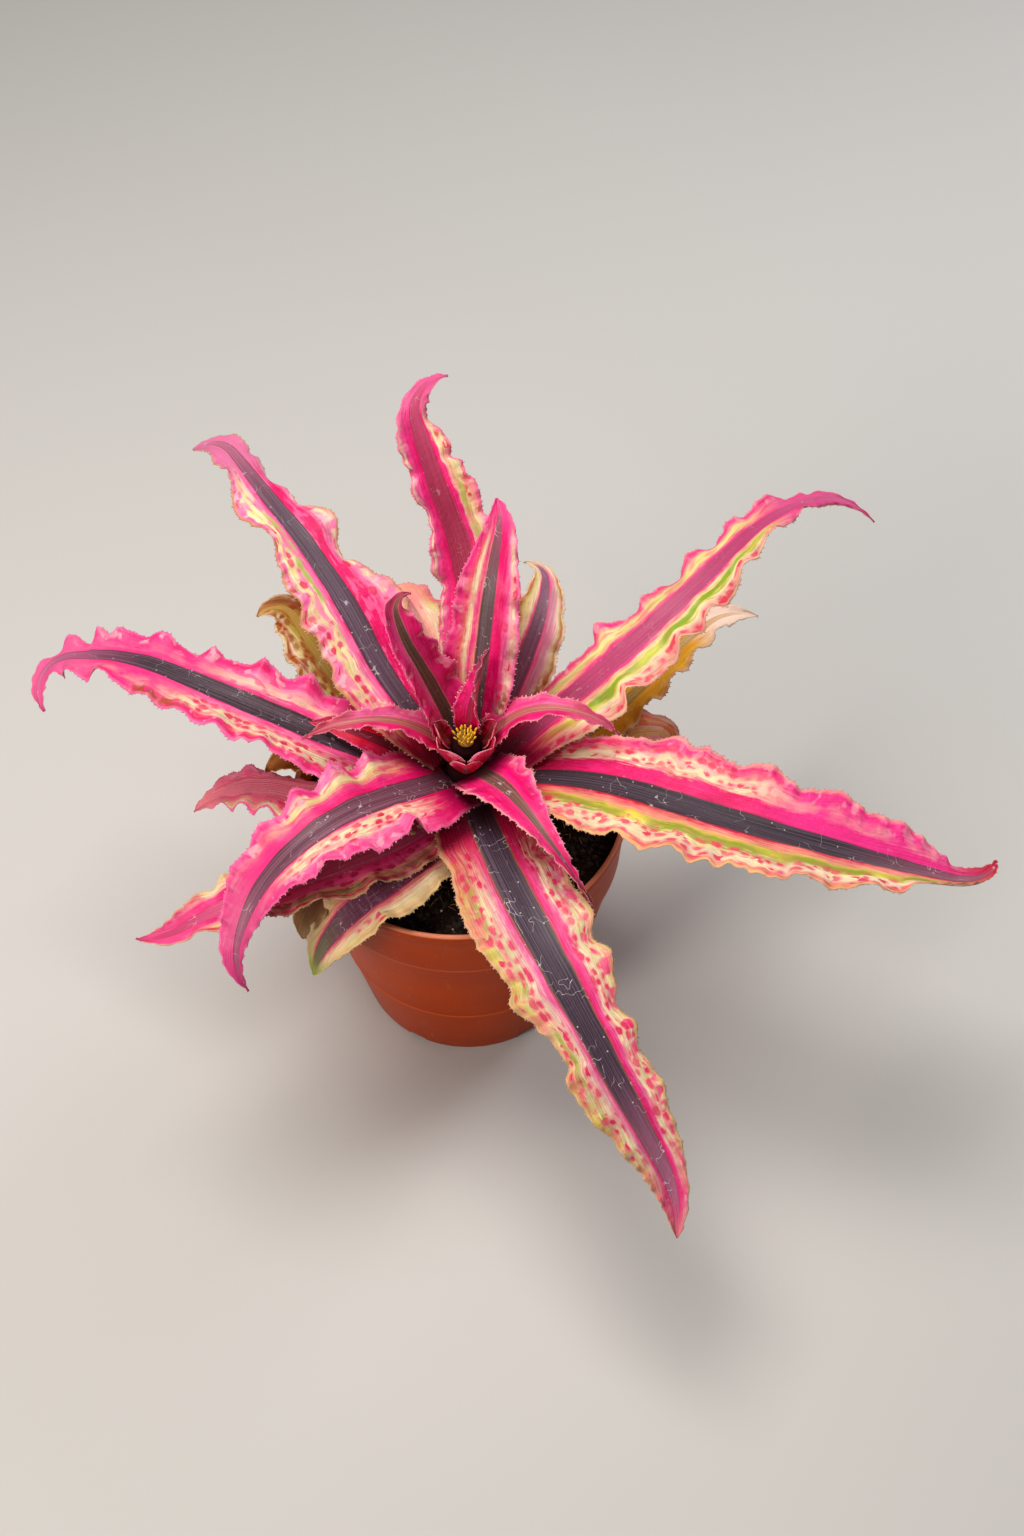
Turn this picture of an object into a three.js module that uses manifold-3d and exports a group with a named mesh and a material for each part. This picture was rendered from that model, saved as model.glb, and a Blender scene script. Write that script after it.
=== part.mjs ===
// Earth star bromeliad (Cryptanthus) in a plastic nursery pot.
// Millimetres, +Z up. The origin is the middle of the pot's underside, and -Y is the front.
// The plant is a rosette of waved leaves on a short stem, which stands in the soil.

import * as THREE from "three";
import { mergeVertices } from "three/addons/utils/BufferGeometryUtils.js";
import Module from "manifold-3d";

const wasm = await Module();
wasm.setup();

// ---------------------------------------------------------------- driving dimensions

const RIM_RADIUS = 52.5;      // a 10.5 cm nursery pot
const POT_HEIGHT = 94;
const FOOT_RADIUS = 34.8;     // flat ring that the pot stands on
const WALL = 1.4;
const FLOOR = 1.8;
const RING_HEIGHT = 30;       // moulded ring low on the wall
const COLLAR_HEIGHT = 71;     // where the stiffer collar below the lip begins
const LIP_HEIGHT = 3.2;
const DRAIN_HOLES = 6;
const DRAIN_RADIUS = 4.5;
const DRAIN_CIRCLE = 22;
const FOOT_NOTCHES = 6;
const NOTCH_WIDTH = 6;
const NOTCH_DEPTH = 2.2;

const SOIL_TOP = 85.4;        // at the wall; the soil rises a little to the stem
const SOIL_RISE = 2.8;
const CLEARANCE = 0.35;       // between neighbouring pieces

const STEM_X = 3;             // the plant grows just off the middle of the pot
const STEM_Y = -3;
const STEM_FOOT = 70;
const STEM_TOP = 124;
const STEM_RADII = [[STEM_FOOT, 7.6], [86, 8], [100, 8], [112, 6.5], [STEM_TOP, 4]];

const LEAF_MID_THICKNESS = 1.3;
const LEAF_EDGE_THICKNESS = 0.9;
const LEAF_ROW = 4.2;         // length of one row of facets along a leaf
const LONG_LEAF = 100;        // leaves longer than this have four strips of facets, not three
const TIP_HALF_WIDTH = 0.45;
const STATIONS = [0, 0.3, 0.6, 0.85, 1];   // where "turn" and "rise" are given along a leaf
const HALVES = [0, 0.5, 1];                // where "roll" and "aside" are given

const STAMENS = 14;
const STAMEN_LENGTH = 3.8;
const TUFT_RADIUS = 2.4;

// ---------------------------------------------------------------- colours

const COLOUR = {
  pot: 0xb5521f,
  soil: 0x1d1712,
  stem: 0x6d6a35,
  young: 0xd8104f,
  pink: 0xe63c6e,
  plum: 0xc03a66,
  cream: 0xe0a06a,
  olive: 0xb89a4a,
  withered: 0x8a5a26,
  bract: 0x8f1f2b,
  tuft: 0xe8b52a,
};

function finish(colour, roughness) {
  return new THREE.MeshStandardMaterial({ color: colour, roughness, metalness: 0 });
}

// ---------------------------------------------------------------- small helpers

const rad = THREE.MathUtils.degToRad;
const clamp01 = (x) => Math.min(1, Math.max(0, x));

function smooth(x) {
  const t = clamp01(x);
  return t * t * (3 - 2 * t);
}

// Straight-line reading of a list of [place, value] pairs.
function read(pairs, at) {
  for (let i = 1; i < pairs.length; i += 1) {
    const [a, va] = pairs[i - 1];
    const [b, vb] = pairs[i];
    if (at <= b || i === pairs.length - 1) {
      return va + (vb - va) * clamp01((at - a) / (b - a));
    }
  }
  return pairs[0][1];
}

const stemRadius = (z) => read(STEM_RADII, z);

function seeded(seed) {
  let state = seed;
  return () => {
    state = (state * 1664525 + 1013904223) % 4294967296;
    return state / 4294967296;
  };
}

// A closed geometry as a solid that can be joined and cut.
function toSolid(geometry) {
  const bare = geometry.clone();
  bare.deleteAttribute("normal");
  bare.deleteAttribute("uv");
  const merged = mergeVertices(bare, 1e-4);
  return new wasm.Manifold(new wasm.Mesh({
    numProp: 3,
    vertProperties: new Float32Array(merged.attributes.position.array),
    triVerts: new Uint32Array(merged.index.array),
  }));
}

function toGeometry(solid) {
  const mesh = solid.getMesh();
  const geometry = new THREE.BufferGeometry();
  geometry.setAttribute("position", new THREE.BufferAttribute(mesh.vertProperties, 3));
  geometry.setIndex(new THREE.BufferAttribute(mesh.triVerts, 1));
  geometry.computeVertexNormals();
  return geometry;
}

function largestBody(solid) {
  const bodies = solid.decompose();
  return bodies.reduce((best, body) => (body.volume() > best.volume() ? body : best));
}

// A lathed solid about +Z from [radius, height] pairs that start and end on the axis.
function turned(profile, segments) {
  const points = profile.map(([r, z]) => new THREE.Vector2(r, z));
  const geometry = new THREE.LatheGeometry(points, segments);
  geometry.rotateX(Math.PI / 2);
  return geometry;
}

// ---------------------------------------------------------------- pot, soil and stem

// Outside radius of the wall below the collar, a straight taper.
const wallRadius = (z) => 36 + (49.5 - 36) * (z - 1.6) / (COLLAR_HEIGHT - 1.6);

function potGeometry() {
  const lipFoot = POT_HEIGHT - LIP_HEIGHT;
  const profile = [
    [0, 0],
    [FOOT_RADIUS, 0],
    [36, 1.6],
    [wallRadius(RING_HEIGHT), RING_HEIGHT - 0.4],
    [wallRadius(RING_HEIGHT) + 0.35, RING_HEIGHT],
    [49.5, COLLAR_HEIGHT],
    [50.3, COLLAR_HEIGHT + 0.5],
    [51.6, lipFoot - 0.6],
    [RIM_RADIUS - 0.1, lipFoot],
    [RIM_RADIUS, POT_HEIGHT - 0.8],
    [RIM_RADIUS - 0.6, POT_HEIGHT],
    [RIM_RADIUS - 1.5, POT_HEIGHT],
    [RIM_RADIUS - 1.9, POT_HEIGHT - 0.8],
    [innerRadius(COLLAR_HEIGHT + 0.5), COLLAR_HEIGHT + 0.5],
    [innerRadius(RING_HEIGHT), RING_HEIGHT],
    [innerRadius(FLOOR + 1.2), FLOOR + 1.2],
    [innerRadius(FLOOR) - 0.8, FLOOR],
    [0, FLOOR],
  ];
  let pot = toSolid(turned(profile, 36));
  for (let i = 0; i < DRAIN_HOLES; i += 1) {
    const turn = rad(30 + i * 360 / DRAIN_HOLES);
    const drill = new THREE.CylinderGeometry(DRAIN_RADIUS, DRAIN_RADIUS, 3 * FLOOR, 16);
    drill.rotateX(Math.PI / 2);
    drill.translate(DRAIN_CIRCLE * Math.cos(turn), DRAIN_CIRCLE * Math.sin(turn), FLOOR / 2);
    pot = pot.subtract(toSolid(drill));
  }
  for (let i = 0; i < FOOT_NOTCHES; i += 1) {
    const cutter = new THREE.BoxGeometry(10, NOTCH_WIDTH, 2 * NOTCH_DEPTH);
    cutter.translate(FOOT_RADIUS + 3, 0, 0);
    cutter.rotateZ(rad(i * 360 / FOOT_NOTCHES));
    pot = pot.subtract(toSolid(cutter));
  }
  return toGeometry(pot);
}

function innerRadius(z) {
  return wallRadius(Math.min(z, COLLAR_HEIGHT)) - WALL + Math.max(0, z - COLLAR_HEIGHT) * 0.06;
}

// Soil fills the pot. Its top is crumbly and rises to the stem, round a plain hole.
function soilGeometry() {
  const hole = stemRadius(86) + 0.4;
  const fill = (z) => innerRadius(z) - CLEARANCE;
  const wallTop = SOIL_TOP;
  const offset = Math.hypot(STEM_X, STEM_Y);
  const profile = [
    [0, FLOOR + CLEARANCE],
    [fill(FLOOR) - 1.4, FLOOR + CLEARANCE],
    [fill(FLOOR + 2) - 0.6, FLOOR + 2],
    [fill(RING_HEIGHT), RING_HEIGHT],
    [fill(COLLAR_HEIGHT), COLLAR_HEIGHT],
    [fill(wallTop), wallTop],
    [42, wallTop + 0.3 * SOIL_RISE],
    [32, wallTop + 0.6 * SOIL_RISE],
    [22, wallTop + 0.85 * SOIL_RISE],
    [hole + offset + 1, wallTop + SOIL_RISE],
    [0, wallTop + SOIL_RISE],
  ];
  const geometry = turned(profile, 30);
  const place = geometry.attributes.position;
  for (let i = 0; i < place.count; i += 1) {
    const [x, y, z] = [place.getX(i), place.getY(i), place.getZ(i)];
    const r = Math.hypot(x, y);
    if (z > wallTop + 0.1 && r > 1) {
      place.setZ(i, z + 0.7 * Math.sin(0.41 * x + 1.3) * Math.cos(0.37 * y - 0.4));
    }
  }
  const socket = new THREE.CylinderGeometry(hole, hole, 40, 24);
  socket.rotateX(Math.PI / 2);
  socket.translate(STEM_X, STEM_Y, STEM_FOOT + 20 - CLEARANCE);
  return toGeometry(toSolid(geometry).subtract(toSolid(socket)));
}

function stemGeometry() {
  const side = STEM_RADII.map(([z, r]) => [r, z]);
  const geometry = turned([[0, STEM_FOOT], ...side, [0, STEM_TOP + 0.8]], 24);
  geometry.translate(STEM_X, STEM_Y, 0);
  return toGeometry(toSolid(geometry));
}

// ---------------------------------------------------------------- leaves
//
// root    height where the leaf leaves the stem; "side" is the heading of that place
// length  along the midrib
// turn    heading of the midrib in plan at the five stations, degrees from +X towards +Y
// rise    its slope above level at the same stations, degrees
// width   greatest width; "widest" is where along the leaf; "foot" is the share of it at the root
// point   how fast the leaf narrows to its tip
// cup     how far the margins stand up, as a share of the half width
// aside   how much wider the left half is than the right, at root, middle and tip, as a share
// swell   how much a full bulge widens its half of the leaf, as a share (0.1 where not given)
// roll    twist about the midrib at root, middle and tip, degrees
// wave    height of the margins' waves, [left, right] seen from the root; below 0 they hang
// left, right   the waves: places along the leaf with 1 at a full bulge, -1 at a full dip

// Even waves: a bulge at each place and a half dip between neighbours.
function bulges(...places) {
  return places.flatMap((at, i) => (
    i === 0 ? [[at, 1]] : [[(places[i - 1] + at) / 2, -0.5], [at, 1]]));
}

const BIG = [
  { name: "leaf_west", kind: "pink", root: 107.6, length: 150, turn: [175, 162, 151, 167, 309],
    rise: [23, 18, 0, -22, -40], width: 31, widest: 0.36, foot: 0.6, point: 0.95, cup: 0,
    swell: 0.12, wave: [-2, 2.2],
    left: [[0.2, 0.3], [0.26, 0], [0.3, -0.6], [0.33, -0.8], [0.362, -1.6], [0.39, -0.8],
      [0.42, -0.2], [0.455, -1.1], [0.49, 0], [0.53, -0.7], [0.57, 0.3], [0.615, -0.3], [0.65, 0.6],
      [0.69, 0], [0.74, -1.4], [0.785, 1.1], [0.835, -0.4], [0.86, 1.4], [0.9, -0.9]],
    right: [[0.23, 0.5], [0.28, -0.5], [0.33, 0.9], [0.375, -0.6], [0.435, 0.6], [0.475, -0.7],
      [0.52, -0.6], [0.55, 0.3], [0.585, -1.4], [0.62, -0.7], [0.66, 0.8], [0.69, -0.3],
      [0.75, 0.9], [0.768, 0.3], [0.79, 1.4], [0.81, -1], [0.85, 1.2], [0.875, -1.2],
      [0.91, -0.4]] },
  { name: "leaf_northwest", kind: "pink", root: 116.2, length: 141,
    turn: [148, 120, 127, 119, 170], rise: [37, 31, 14, -5, -42], width: 26, widest: 0.3,
    foot: 0.6, point: 0.7, cup: -0.1, aside: [0.05, 0.05, 0.05], swell: 0.26,
    wave: [-1.6, 1.8],
    left: [[0.2, 0.2], [0.255, 0.4], [0.28, -0.2], [0.31, 0.1], [0.35, -0.2], [0.39, 0.5],
      [0.44, -0.4], [0.48, 0.1], [0.54, -0.4], [0.6, -1.3], [0.7, 0.4], [0.8, -1.1],
      [0.86, 0.3], [0.91, -0.2]],
    right: [[0.2, 0.2], [0.28, 0.6], [0.34, 1.5], [0.385, 1.3], [0.43, 0.2], [0.5, -1.1],
      [0.58, 0.8], [0.665, -1.1], [0.695, -0.8], [0.75, -1.7], [0.82, -0.6], [0.84, -0.8],
      [0.9, 0.6], [0.94, 0.2]] },
  { name: "leaf_north", kind: "plum", root: 106, length: 125, turn: [97, 78, 120, 107, -27],
    rise: [34, 45, 50, 39, 25], width: 21.5, widest: 0.4, foot: 0.55, point: 0.8, cup: 0.1,
    aside: [-0.2, -0.2, 0], swell: 0.22, roll: [0, -12, 0], wave: [1.6, 1.8],
    left: [[0.38, -0.2], [0.43, -0.9], [0.48, 0.6], [0.51, 0.2], [0.54, 0.2], [0.58, -1.1],
      [0.625, -1.5], [0.68, 0.4], [0.7, 0.3], [0.72, -0.6], [0.76, 0.6], [0.8, 1.6],
      [0.84, 1], [0.88, -0.2]],
    right: [[0.35, 0.3], [0.45, -0.3], [0.55, 0.3], [0.585, -0.2], [0.62, 0.4], [0.66, 0.8],
      [0.685, 0.2], [0.715, 0.5], [0.74, -0.5], [0.77, 0.3], [0.8, 0], [0.84, -1.3],
      [0.88, -1.4]] },
  { name: "leaf_northeast", kind: "plum", root: 110.4, length: 162, turn: [24, 29, 45, 37, -33],
    rise: [32, 28, 9, -22, -37], width: 24, widest: 0.3, foot: 0.55, point: 1.15, cup: -0.12,
    aside: [-0.3, 0, 0.4], swell: 0.16, wave: [1.7, -2],
    left: [[0.2, 0], [0.29, -0.4], [0.32, 1.5], [0.355, -0.2], [0.39, -1.1], [0.43, 0],
      [0.46, -0.5], [0.5, -1.6], [0.555, 0.5], [0.605, -1.4], [0.67, 0.6], [0.69, -0.3],
      [0.75, 1.4], [0.8, -0.4], [0.83, 0.1], [0.855, -0.2], [0.88, 0.3]],
    right: [[0.1, -0.5], [0.2, 0.2], [0.26, 0.8], [0.29, -1], [0.33, 0.5], [0.39, 0.8],
      [0.42, -0.7], [0.46, 0.9], [0.49, -0.6], [0.53, 1.2], [0.56, 0.9], [0.6, -0.8],
      [0.635, 0.5], [0.69, -1.1], [0.76, 0.4], [0.79, -0.9], [0.86, 0.6]] },
  { name: "leaf_east", kind: "pink", root: 108, side: -12, length: 170,
    turn: [-14, -31, -17, -3, 76], rise: [26, 11, -7, -21, -28], width: 37.5, widest: 0.42,
    foot: 0.55, point: 1, cup: 0.1, aside: [0, 0.04, 0.4], swell: 0.18, wave: [1.6, -1.2],
    left: [[0.1, -0.4], [0.2, 0.1], [0.27, 0.1], [0.315, 0.9], [0.34, 0.2], [0.36, 0.4],
      [0.435, -0.3], [0.495, 0.7], [0.56, -0.3], [0.64, 0.7], [0.69, 0], [0.72, 0.2],
      [0.76, 0.5], [0.8, 0], [0.84, -0.7], [0.88, -1.4], [0.91, -1.1]],
    right: [[0.15, 0.2], [0.235, 0.9], [0.28, 0.7], [0.295, -0.1], [0.35, 0.6], [0.395, -0.5],
      [0.43, 0.4], [0.45, -0.1], [0.47, 0.3], [0.49, -0.2], [0.53, 0.2], [0.57, 0.5],
      [0.59, -0.3], [0.615, -0.2], [0.645, 0.9], [0.68, 0.6], [0.7, -0.3], [0.76, 0.8],
      [0.785, -1.1], [0.86, -1.8], [0.92, -1.5]] },
  { name: "leaf_south", kind: "pink", root: 106, length: 152, turn: [-77, -67, -61, -55, -98],
    rise: [13, -2, -23, -41, -48], width: 32.5, widest: 0.3, foot: 0.8, point: 0.8, cup: 0.02,
    swell: 0.18, wave: [1.6, 1.8],
    left: [[0.15, -0.4], [0.18, -0.8], [0.22, 0.2], [0.28, -0.1], [0.36, 0.5], [0.41, -0.6],
      [0.45, 0.5], [0.5, -0.3], [0.55, -1.2], [0.6, -0.1], [0.64, -0.9], [0.68, -0.3],
      [0.725, 0.5], [0.76, 0], [0.8, 0.2], [0.84, 0.3], [0.89, -0.2]],
    right: [[0.06, 0.5], [0.12, 0.5], [0.165, -0.3], [0.2, 0], [0.25, 0.4], [0.3, 0.6],
      [0.34, 0.6], [0.4, 0], [0.435, -0.3], [0.47, 1], [0.52, -0.4], [0.56, -1.2],
      [0.61, -1.3], [0.635, 0.7], [0.68, 0.8], [0.72, 1.1], [0.76, -0.1], [0.795, 0.4],
      [0.84, -0.3], [0.88, 0.1]] },
  { name: "leaf_southwest", kind: "pink", root: 113, side: 222, length: 107,
    turn: [220, 213, 219, 243, 322], rise: [31, 16, -26, -51, -60], width: 30, widest: 0.3,
    foot: 0.92, point: 1.05, cup: 0.05, aside: [0, 0, -0.7], swell: 0.12, wave: [-2.6, 2.6],
    left: [[0.05, 0.9], [0.12, 1], [0.2, 0.8], [0.235, -1], [0.27, 0.2], [0.36, 1],
      [0.4, 0.2], [0.46, 0.3], [0.5, -0.6], [0.57, 0.5], [0.63, -0.1], [0.7, 0.2]],
    right: [[0.1, 0.3], [0.16, 0.1], [0.22, 0.7], [0.27, -0.6], [0.33, 1], [0.4, -0.6],
      [0.45, 0.9], [0.51, -0.3], [0.58, 0.6], [0.63, -0.2], [0.69, 0.4], [0.75, -0.1]] },
  { name: "leaf_southwest_under", kind: "plum", root: 101, length: 108,
    turn: [-128, -152, -165, -158, -200], rise: [15, 7, -8, -18, -20], width: 26, widest: 0.35,
    foot: 0.45, point: 1, cup: 0.2, wave: [-1.2, 1.2],
    left: bulges(0.27, 0.4, 0.57, 0.75, 0.88), right: bulges(0.3, 0.46, 0.62, 0.7, 0.78) },
];

const SMALL = [
  { name: "leaf_north_inner", kind: "pink", root: 111.5, side: 72, length: 82,
    turn: [75, 72, 74, 75, 101], rise: [74, 69, 57, 38, 18], width: 22, widest: 0.45,
    foot: 0.35, point: 0.8, cup: 0, roll: [-12, -8, 0], wave: [1.4, 1.4],
    left: [[0.3, 0.3], [0.42, 0.8], [0.5, -0.3], [0.6, 0.3], [0.68, 0.6], [0.8, -0.1]],
    right: [[0.3, 0.6], [0.42, -0.2], [0.5, 0.4], [0.62, -0.7], [0.67, 0.5], [0.78, -0.6],
      [0.84, 0.5]] },
  { name: "leaf_north_short", kind: "cream", root: 100.6, side: 62, length: 75,
    turn: [60, 56, 64, 86, 170], rise: [43, 46, 29, 8, -5], width: 20, widest: 0.5, foot: 0.4,
    point: 1.05, cup: 0.05, swell: 0.14, wave: [1.4, 1.4],
    left: [[0.4, 0], [0.55, -0.4], [0.64, -0.8], [0.72, 1], [0.8, 0.2], [0.86, 0.5], [0.92, 0]],
    right: [[0.4, 0.2], [0.5, 0.6], [0.56, -0.3], [0.63, 0.9], [0.7, -0.3], [0.78, 0.4],
      [0.86, -0.3]] },
  { name: "leaf_east_young", kind: "young", root: 119, side: 28, length: 51,
    turn: [28, -3, -13, -18, -22], rise: [58, 43, 5, -25, -50], width: 10.5, widest: 0.25,
    foot: 0.65, point: 1.05, cup: 0.25, wave: [0.5, -0.6], left: bulges(0.3, 0.5, 0.7, 0.9),
    right: bulges(0.25, 0.45, 0.7) },
  { name: "leaf_west_young", kind: "young", root: 119, side: 160, length: 50,
    turn: [160, 183, 189, 188, 189], rise: [50, 38, 5, -16, -36], width: 10, widest: 0.25,
    foot: 0.6, point: 1.05, cup: 0.25, wave: [-0.5, 0.5], left: bulges(0.3, 0.5, 0.7, 0.9),
    right: bulges(0.25, 0.45, 0.65) },
  { name: "leaf_heart", kind: "young", root: 121, side: 82, length: 40,
    turn: [82, 40, 0, -10, -20], rise: [84, 80, 78, 74, 70], width: 9, widest: 0.3, foot: 0.6,
    point: 0.95, cup: 0.3, wave: [0.3, 0.3], left: bulges(0.3, 0.6), right: bulges(0.4, 0.7) },
  { name: "leaf_northwest_young", kind: "young", root: 117, side: 118, length: 58,
    turn: [118, 148, 150, 110, -30], rise: [68, 66, 62, 52, 30], width: 18, widest: 0.35,
    foot: 0.5, point: 0.95, cup: 0.2, wave: [0.9, 1.2], left: bulges(0.3, 0.48, 0.65),
    right: bulges(0.25, 0.42, 0.58, 0.75) },
  { name: "leaf_southeast_young", kind: "young", root: 117, side: -58, length: 67,
    turn: [-52, -63, -56, -42, -20], rise: [34, 22, -15, -50, -67], width: 20.5, widest: 0.16,
    foot: 0.9, point: 1.85, cup: 0.1, wave: [1.3, 1.3],
    left: [[0.1, 0.2], [0.16, 0.8], [0.2, -0.6], [0.27, 0.8], [0.34, -0.3], [0.45, 0.4],
      [0.55, -0.3], [0.65, 0.3]],
    right: [[0.08, 0.5], [0.13, -0.3], [0.2, 0.8], [0.27, -0.3], [0.36, 0.4], [0.45, -0.2],
      [0.56, 0.4], [0.7, 0]] },
  { name: "leaf_west_folded", kind: "young", root: 109.2, side: 165, length: 44,
    turn: [166, 166, 168, 175, 180], rise: [26, 25, 21, 17, 8], width: 13, widest: 0.3,
    foot: 0.55, point: 0.9, cup: 0.1, roll: [0, -8, -14], wave: [0.6, 0.6],
    left: bulges(0.3, 0.6), right: bulges(0.35, 0.65) },
  { name: "leaf_north_pale", kind: "cream", root: 102, side: 108, length: 64,
    turn: [108, 102, 108, 116, 125], rise: [34, 34, 24, 8, -5], width: 23, widest: 0.6,
    foot: 0.4, point: 0.6, cup: 0.05, swell: 0.14, wave: [1.4, 1.8],
    left: [[0.4, 0.4], [0.52, -0.7], [0.6, 0.9], [0.68, -0.6], [0.78, 0.9], [0.88, -0.3]],
    right: [[0.4, 0.3], [0.5, -0.8], [0.58, 1], [0.66, -0.7], [0.76, 1], [0.84, -0.6],
      [0.92, 0.5]] },
  { name: "leaf_south_low", kind: "olive", root: 99, length: 78,
    turn: [-105, -139, -149, -154, -140], rise: [22, 3, -22, -62, -76], width: 22, widest: 0.5,
    foot: 0.4, point: 0.8, cup: 0, wave: [-1.3, 1.3],
    left: [[0.3, 0.4], [0.42, 1], [0.5, 0.6], [0.55, -1], [0.62, 0.2], [0.72, 0.3], [0.88, 0]],
    right: bulges(0.3, 0.5, 0.68, 0.84) },
  { name: "leaf_west_low", kind: "pink", root: 98, length: 84, turn: [-176, -180, -204, -184, -148],
    rise: [12, 4, -12, -28, -34], width: 18.5, widest: 0.6, foot: 0.4, point: 0.95, cup: 0.05,
    swell: 0.26, wave: [-1, 1.2], left: bulges(0.55, 0.68, 0.8, 0.92),
    right: [[0.3, -1.2], [0.5, -1.6], [0.62, -1.5], [0.7, -0.9], [0.765, 0.6], [0.8, 0.1],
      [0.86, 0.6], [0.91, -0.2]] },
  { name: "leaf_northwest_low", kind: "olive", root: 99, length: 89,
    turn: [150, 137, 121, 120, 236], rise: [24, 20, 10, 4, -6], width: 21, widest: 0.5, foot: 0.5,
    point: 0.75, cup: 0.05, wave: [-1.6, 1.5], left: bulges(0.45, 0.58, 0.7, 0.83),
    right: bulges(0.4, 0.55, 0.7, 0.85) },
  { name: "leaf_northeast_low", kind: "olive", root: 98, length: 110, turn: [16, 34, 53, 42, -12],
    rise: [18, 10, 2, -6, -14], width: 18, widest: 0.45, foot: 0.45, point: 0.8, cup: 0.05,
    aside: [0.3, 0.36, 0], swell: 0.2, wave: [1.2, -1.5], left: bulges(0.4, 0.55, 0.7, 0.85),
    right: bulges(0.42, 0.54, 0.66, 0.78, 0.9) },
  { name: "leaf_east_low", kind: "olive", root: 96, length: 66, turn: [12, 21, 28, 14, -60],
    rise: [18, 14, 5, -26, -70], width: 18, widest: 0.6, foot: 0.45, point: 0.6, cup: 0,
    swell: 0.14, wave: [1.5, -1.5],
    left: [[0.5, 0.2], [0.62, 0.8], [0.7, -0.4], [0.78, 0.6], [0.86, -0.3], [0.93, 0.3]],
    right: [[0.45, 0.5], [0.55, -0.6], [0.64, 0.9], [0.72, -0.7], [0.8, 0.8], [0.9, -0.4]] },
  { name: "leaf_west_withered", kind: "withered", root: 94, side: 150, length: 60,
    turn: [154, 166, 170, 178, 196], rise: [20, 12, -2, -14, -34], width: 16, widest: 0.5,
    foot: 0.4, point: 0.7, cup: 0.3, wave: [1.6, 1.8], left: bulges(0.4, 0.6, 0.8),
    right: bulges(0.45, 0.65, 0.85) },
  { name: "leaf_southwest_withered", kind: "withered", root: 93, side: -147, length: 66,
    turn: [-150, -144, -140, -134, -125], rise: [20, 12, -10, -50, -75], width: 14, widest: 0.6,
    foot: 0.4, point: 0.7, cup: 0.15, wave: [1.2, 1.4], left: bulges(0.4, 0.6, 0.8),
    right: bulges(0.45, 0.65, 0.85) },
];

// The bracts of the flower cup: [heading, height on the stem, length, width].
const BRACTS = [
  [222, 121.2, 11.5, 10],
  [318, 120.8, 11.5, 10],
  [164, 122.4, 10, 6.5],
  [270, 118.6, 9.5, 9],
  [16, 122, 10, 6.5],
];

function bractSpecs() {
  return BRACTS.map(([heading, root, length, width], i) => ({
    name: `bract_${i + 1}`, kind: "bract", root, side: heading, length,
    turn: [heading, heading, heading, heading, heading], rise: [40, 62, 72, 62, 48], width,
    widest: 0.45, foot: 0.75, point: 0.65, cup: 0.45, wave: [0, 0],
    left: bulges(0.5), right: bulges(0.5) }));
}

// Height of a margin's wave at a place, eased from one listed place to the next.
function waveAt(list, u) {
  if (u <= list[0][0]) {
    return list[0][1];
  }
  for (let i = 1; i < list.length; i += 1) {
    const [a, from] = list[i - 1];
    const [b, to] = list[i];
    if (u <= b) {
      return from + (to - from) * smooth((u - a) / (b - a));
    }
  }
  return list[list.length - 1][1];
}

function halfWidth(leaf, u) {
  const past = clamp01((u - leaf.widest) / (1 - leaf.widest));
  const grow = leaf.foot + (1 - leaf.foot) * Math.sin(Math.PI / 2 * clamp01(u / leaf.widest));
  const taper = (1 - past) ** leaf.point * (1 + 0.6 * past);
  return Math.max(TIP_HALF_WIDTH, leaf.width / 2 * grow * taper);
}

// The midrib: its direction is read from "turn" and "rise" and summed step by step.
function midrib(leaf, rows) {
  const side = rad(leaf.side ?? leaf.turn[0]);
  const reach = stemRadius(leaf.root) + 0.4;
  const turns = STATIONS.map((at, i) => [at, rad(leaf.turn[i])]);
  const rises = STATIONS.map((at, i) => [at, rad(leaf.rise[i])]);
  const rolls = HALVES.map((at, i) => [at, rad((leaf.roll ?? [0, 0, 0])[i])]);
  const asides = HALVES.map((at, i) => [at, (leaf.aside ?? [0, 0, 0])[i]]);
  const at = new THREE.Vector3(
    STEM_X + reach * Math.cos(side), STEM_Y + reach * Math.sin(side), leaf.root);
  const frames = [];
  const substeps = 3;
  for (let i = 0; i <= rows * substeps; i += 1) {
    const u = i / (rows * substeps);
    const turn = read(turns, u);
    const rise = read(rises, u);
    const along = new THREE.Vector3(
      Math.cos(turn) * Math.cos(rise), Math.sin(turn) * Math.cos(rise), Math.sin(rise));
    if (i > 0) {
      at.addScaledVector(along, leaf.length / (rows * substeps));
    }
    if (i % substeps === 0) {
      const level = new THREE.Vector3(-Math.sin(turn), Math.cos(turn), 0);
      const roll = read(rolls, u);
      const above = along.clone().cross(level);
      const left = level.multiplyScalar(Math.cos(roll)).addScaledVector(above, Math.sin(roll));
      const up = along.clone().cross(left);
      frames.push({ u, at: at.clone(), left, up, aside: read(asides, u) });
    }
  }
  return frames;
}

// Point of the leaf's upper face, v from -1 at the right margin to 1 at the left one.
function facePoint(leaf, frame, v, grow) {
  const { u, at, left, up, aside } = frame;
  const isLeft = v > 0;
  const half = halfWidth(leaf, u) * (1 + aside * (isLeft ? 1 : -1)) + grow;
  const ease = smooth((u - 0.03) / 0.12) * smooth((1 - u) / 0.15);
  const wave = waveAt(isLeft ? leaf.left : leaf.right, u) * ease;
  const out = half * v * (1 + (leaf.swell ?? 0.1) * wave * Math.abs(v));
  const stand = leaf.cup * half * v * v
    + leaf.wave[isLeft ? 0 : 1] * wave * Math.abs(v) ** 2.2;
  return at.clone().addScaledVector(left, out).addScaledVector(up, stand);
}

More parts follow.
